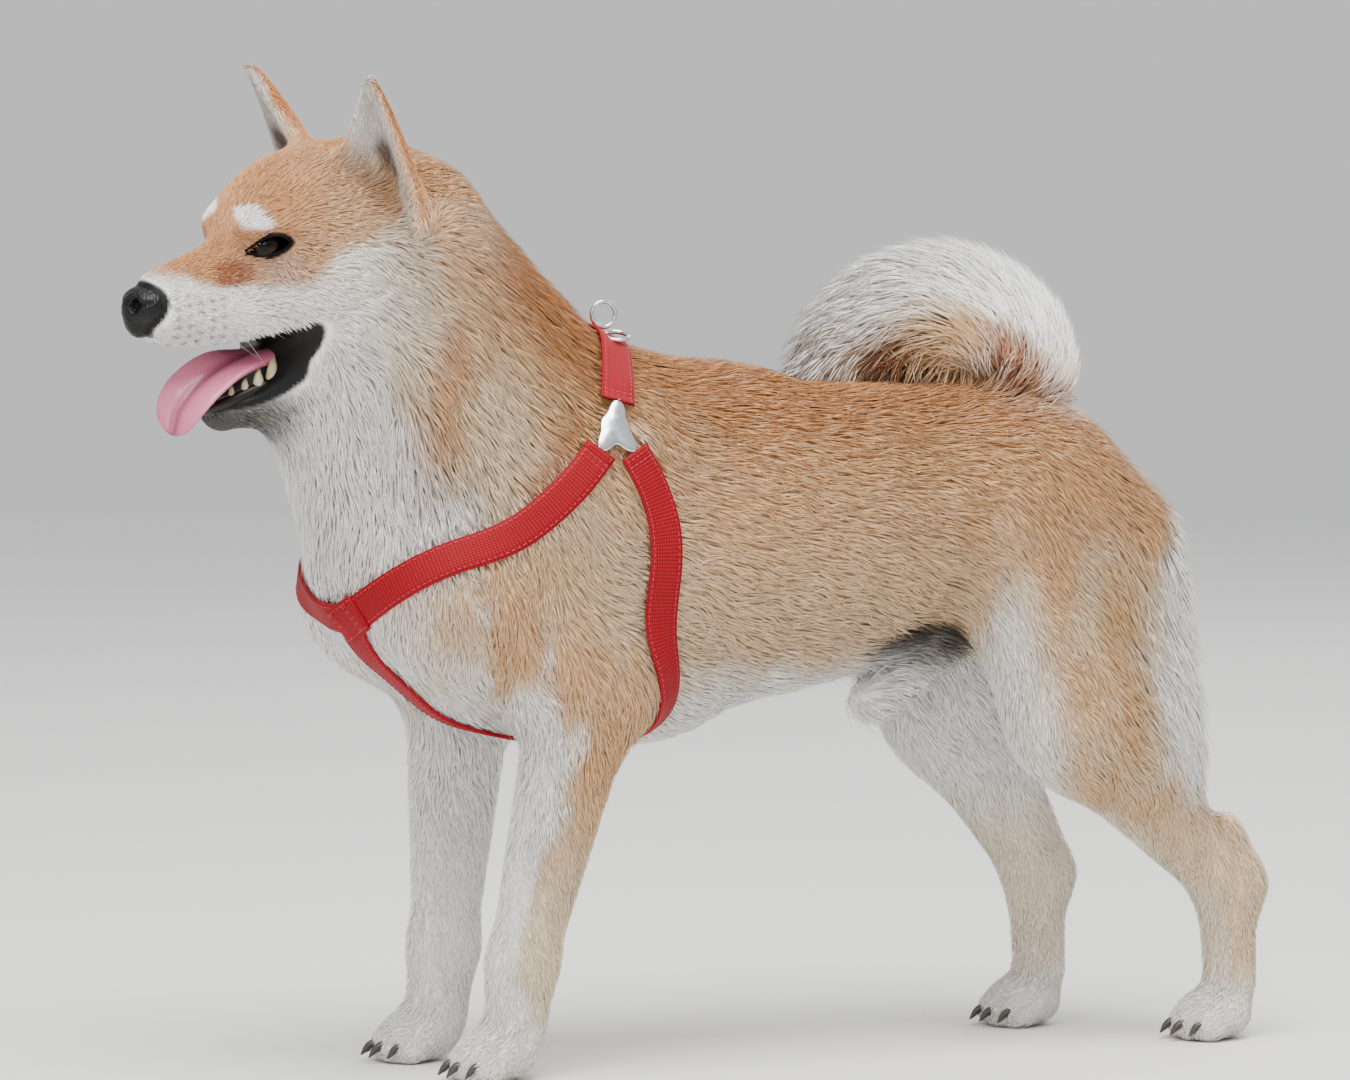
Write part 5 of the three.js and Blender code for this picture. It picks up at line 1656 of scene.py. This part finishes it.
class SHIBA_OT_nose(Operator):
    """Nose leather with nostrils, slits and groove"""
    bl_idname = "shiba.nose"
    bl_label = "Nose"

    def execute(self, context):
        low, high = from_head([96, -20, -60]) - 6, from_head([136, 20, -20]) + 6
        material = finish_of("nose_leather_skin", nose_leather)
        points, faces = surface(nose_field, low, high, NOSE_CELL)
        new_mesh("nose_pad", points, faces, material, "nose_leather", ["nose"])
        return {"FINISHED"}


class SHIBA_OT_eyes(Operator):
    """Eyeballs and the black rims of the lids"""
    bl_idname = "shiba.eyes"
    bl_label = "Eyes"

    def execute(self, context):
        material = finish_of("wet_eye", wet_eye)
        rim = finish_of("lid_skin", PLAIN["lid_skin"])
        for side, name in ((1, "left"), (-1, "right")):
            points, faces, tint = eyeball(side)
            new_mesh("eyeball_" + name, points, faces, material, "eye", ["eye_" + name], colour=tint)
            new_mesh("lids_" + name, *lid_rim(side), rim, "nose_leather")
        return {"FINISHED"}


class SHIBA_OT_mouth(Operator):
    """Tongue over the lower teeth and gums, and whiskers"""
    bl_idname = "shiba.mouth"
    bl_label = "Mouth"

    def execute(self, context):
        points, faces, tint = tongue_shape()
        flesh = finish_of("wet_tongue", wet_tongue)
        new_mesh("tongue_flesh", points, faces, flesh, "tongue", ["tongue"], colour=tint)
        for name, shapes, finish, slot in (
            ("lower_teeth", teeth_shapes, "tooth_enamel", "cream_coat"),
            ("gums", gum_shapes, "gum_flesh", "tongue"),
            ("whiskers", whisker_shapes, "whisker_hair", "nose_leather"),
        ):
            new_mesh(name, *shapes(), finish_of(finish, PLAIN[finish]), slot)
        return {"FINISHED"}


class SHIBA_OT_claws(Operator):
    """Sixteen claws at the tips of the toes"""
    bl_idname = "shiba.claws"
    bl_label = "Claws"

    def execute(self, context):
        new_mesh("claws", *claw_shapes(), finish_of("claw_horn", PLAIN["claw_horn"]), "nose_leather")
        return {"FINISHED"}


class SHIBA_OT_webbing(Operator):
    """Six webbing straps with their stitching"""
    bl_idname = "shiba.webbing"
    bl_label = "Webbing"

    def execute(self, context):
        material = finish_of("woven_webbing", woven_webbing)
        pieces = [("webbing_" + name, name, strap_shape(name)) for name in STRAPS]
        pieces.append(("breast_patch", "breast_plate", breast_patch()))
        seams = []
        for name, node, (points, faces, uv, path) in pieces:
            new_mesh(name, points, faces, material, "webbing", [node], uv=("weave", uv))
            seams.append(stitches(*path))
        thread = finish_of("polyester_thread", PLAIN["polyester_thread"])
        new_mesh("stitching", *gathered(seams), thread, "webbing")
        return {"FINISHED"}


class SHIBA_OT_metal(Operator):
    """Three-armed plates and rings"""
    bl_idname = "shiba.metal"
    bl_label = "Metal parts"

    def execute(self, context):
        material = finish_of("chromed_steel", chromed_steel)
        for name, (spot, straps) in PLATES.items():
            new_mesh("star_" + name, *plate_shape(spot, straps), material, "steel", [name])
        top, rest = on_body([[60, 0, 402], [57, 12, 398]])
        upright = ring_shape(top + [-1, 0, 10.6], [0, 1, 0], 7.0, RING_THICK)
        lying = ring_shape(rest + [0, 0, 3.4], [0.05, 0.35, 1.0], 6.5, RING_THICK)
        new_mesh("rings", *gathered([upright, lying]), material, "steel", ["lead_ring"])
        return {"FINISHED"}


RING_THICK = 1.35
# Radius and height in metres of the floor and of the backdrop that rises from it.
FLOOR_PROFILE = [
    (0.01, 0), (1.0, 0), (2.5, 0), (4.0, 0), (5.5, 0),
    (6.5, 0.15), (7.2, 0.55), (7.7, 1.2), (8.0, 2.1), (8.1, 3.4),
]
# Place, size and watts of each soft light.
LIGHTS = {
    "overhead": ((0.3, 1.0, 3.0), 2.2, 185.0), "front": ((3.2, 2.6, 1.6), 1.8, 45.0),
    "back": ((-2.6, -1.6, 2.2), 1.8, 40.0),
}
LIT_SPOT, SEEN_SPOT = (0, 0, 0.3), (0.0088, 0.0, 0.289)


def in_scene(name, data):
    obj = bpy.data.objects.new(name, data)
    bpy.context.scene.collection.objects.link(obj)
    return obj


class SHIBA_OT_stage(Operator):
    """Pale floor that rises round the dog, soft lights and the camera"""
    bl_idname = "shiba.stage"
    bl_label = "Stage"

    def execute(self, context):
        settings, scene = context.scene.shiba, context.scene
        # Matt paint on the floor and backdrop.
        look = dict(Base_Color=rgba(settings.floor), Roughness=0.9)
        paint = finish_of("painted_floor", lambda tree: ({}, look))
        m, n = len(FLOOR_PROFILE), 96
        rows = [(r * math.cos(a), r * math.sin(a), h) for r, h in FLOOR_PROFILE for a in circle(n)]
        i, j = np.meshgrid(np.arange(m - 1) * n, np.arange(n), indexing="ij")
        faces = np.stack([i + j, i + n + j, i + n + (j + 1) % n, i + (j + 1) % n], -1).reshape(-1, 4)
        mesh = bpy.data.meshes.new("floor")
        mesh.from_pydata(rows, [], [*faces.tolist(), list(range(n))])
        mesh.polygons.foreach_set("use_smooth", np.ones(len(mesh.polygons), bool))
        mesh.materials.append(paint)
        floor = in_scene("floor", mesh)

        scene.world = bpy.data.worlds.new("daylight")
        scene.world.use_nodes = True
        sky = scene.world.node_tree.nodes["Background"]
        sky.inputs["Color"].default_value = rgba(linear("#E9EEF4"))
        sky.inputs["Strength"].default_value = 0.95
        for name, (place, size, power) in LIGHTS.items():
            light = bpy.data.lights.new(name, "AREA")
            light.size, light.energy = size, power
            lamp = in_scene(name, light)
            lamp.location = place
            lamp.rotation_euler = (Vector(LIT_SPOT) - Vector(place)).to_track_quat("-Z", "Y").to_euler()

        lens = bpy.data.cameras.new("camera")
        lens.lens, lens.sensor_width, lens.clip_end = 192.0, 36.0, 60.0
        scene.camera = camera = in_scene("camera", lens)
        a, e = settings.azimuth, settings.elevation
        back = Vector((math.sin(a) * math.cos(e), -math.cos(a) * math.cos(e), math.sin(e)))
        camera.location = Vector(SEEN_SPOT) + back * settings.distance
        camera.rotation_euler = (-back).to_track_quat("-Z", "Y").to_euler()
        return {"FINISHED"}


class SHIBA_PT_panel(Panel):
    bl_label = "Shiba inu"
    bl_idname = "SHIBA_PT_panel"
    bl_space_type = "VIEW_3D"
    bl_region_type = "UI"
    bl_category = "Dog"

    def draw(self, context):
        for name in ShibaSettings.__annotations__:
            self.layout.prop(context.scene.shiba, name)
        for operator in OPERATORS:
            self.layout.operator(operator.bl_idname)


OPERATORS = [
    SHIBA_OT_skin, SHIBA_OT_coat, SHIBA_OT_nose, SHIBA_OT_eyes, SHIBA_OT_mouth, SHIBA_OT_claws,
    SHIBA_OT_webbing, SHIBA_OT_metal, SHIBA_OT_stage,
]


def register():
    for cls in (ShibaSettings, *OPERATORS, SHIBA_PT_panel):
        bpy.utils.register_class(cls)
    bpy.types.Scene.shiba = PointerProperty(type=ShibaSettings)


def unregister():
    del bpy.types.Scene.shiba
    for cls in (SHIBA_PT_panel, *reversed(OPERATORS), ShibaSettings):
        bpy.utils.unregister_class(cls)


def main():
    register()
    for operator in OPERATORS:
        getattr(bpy.ops.shiba, operator.bl_idname.split(".")[1])()


if __name__ == "__main__":
    main()
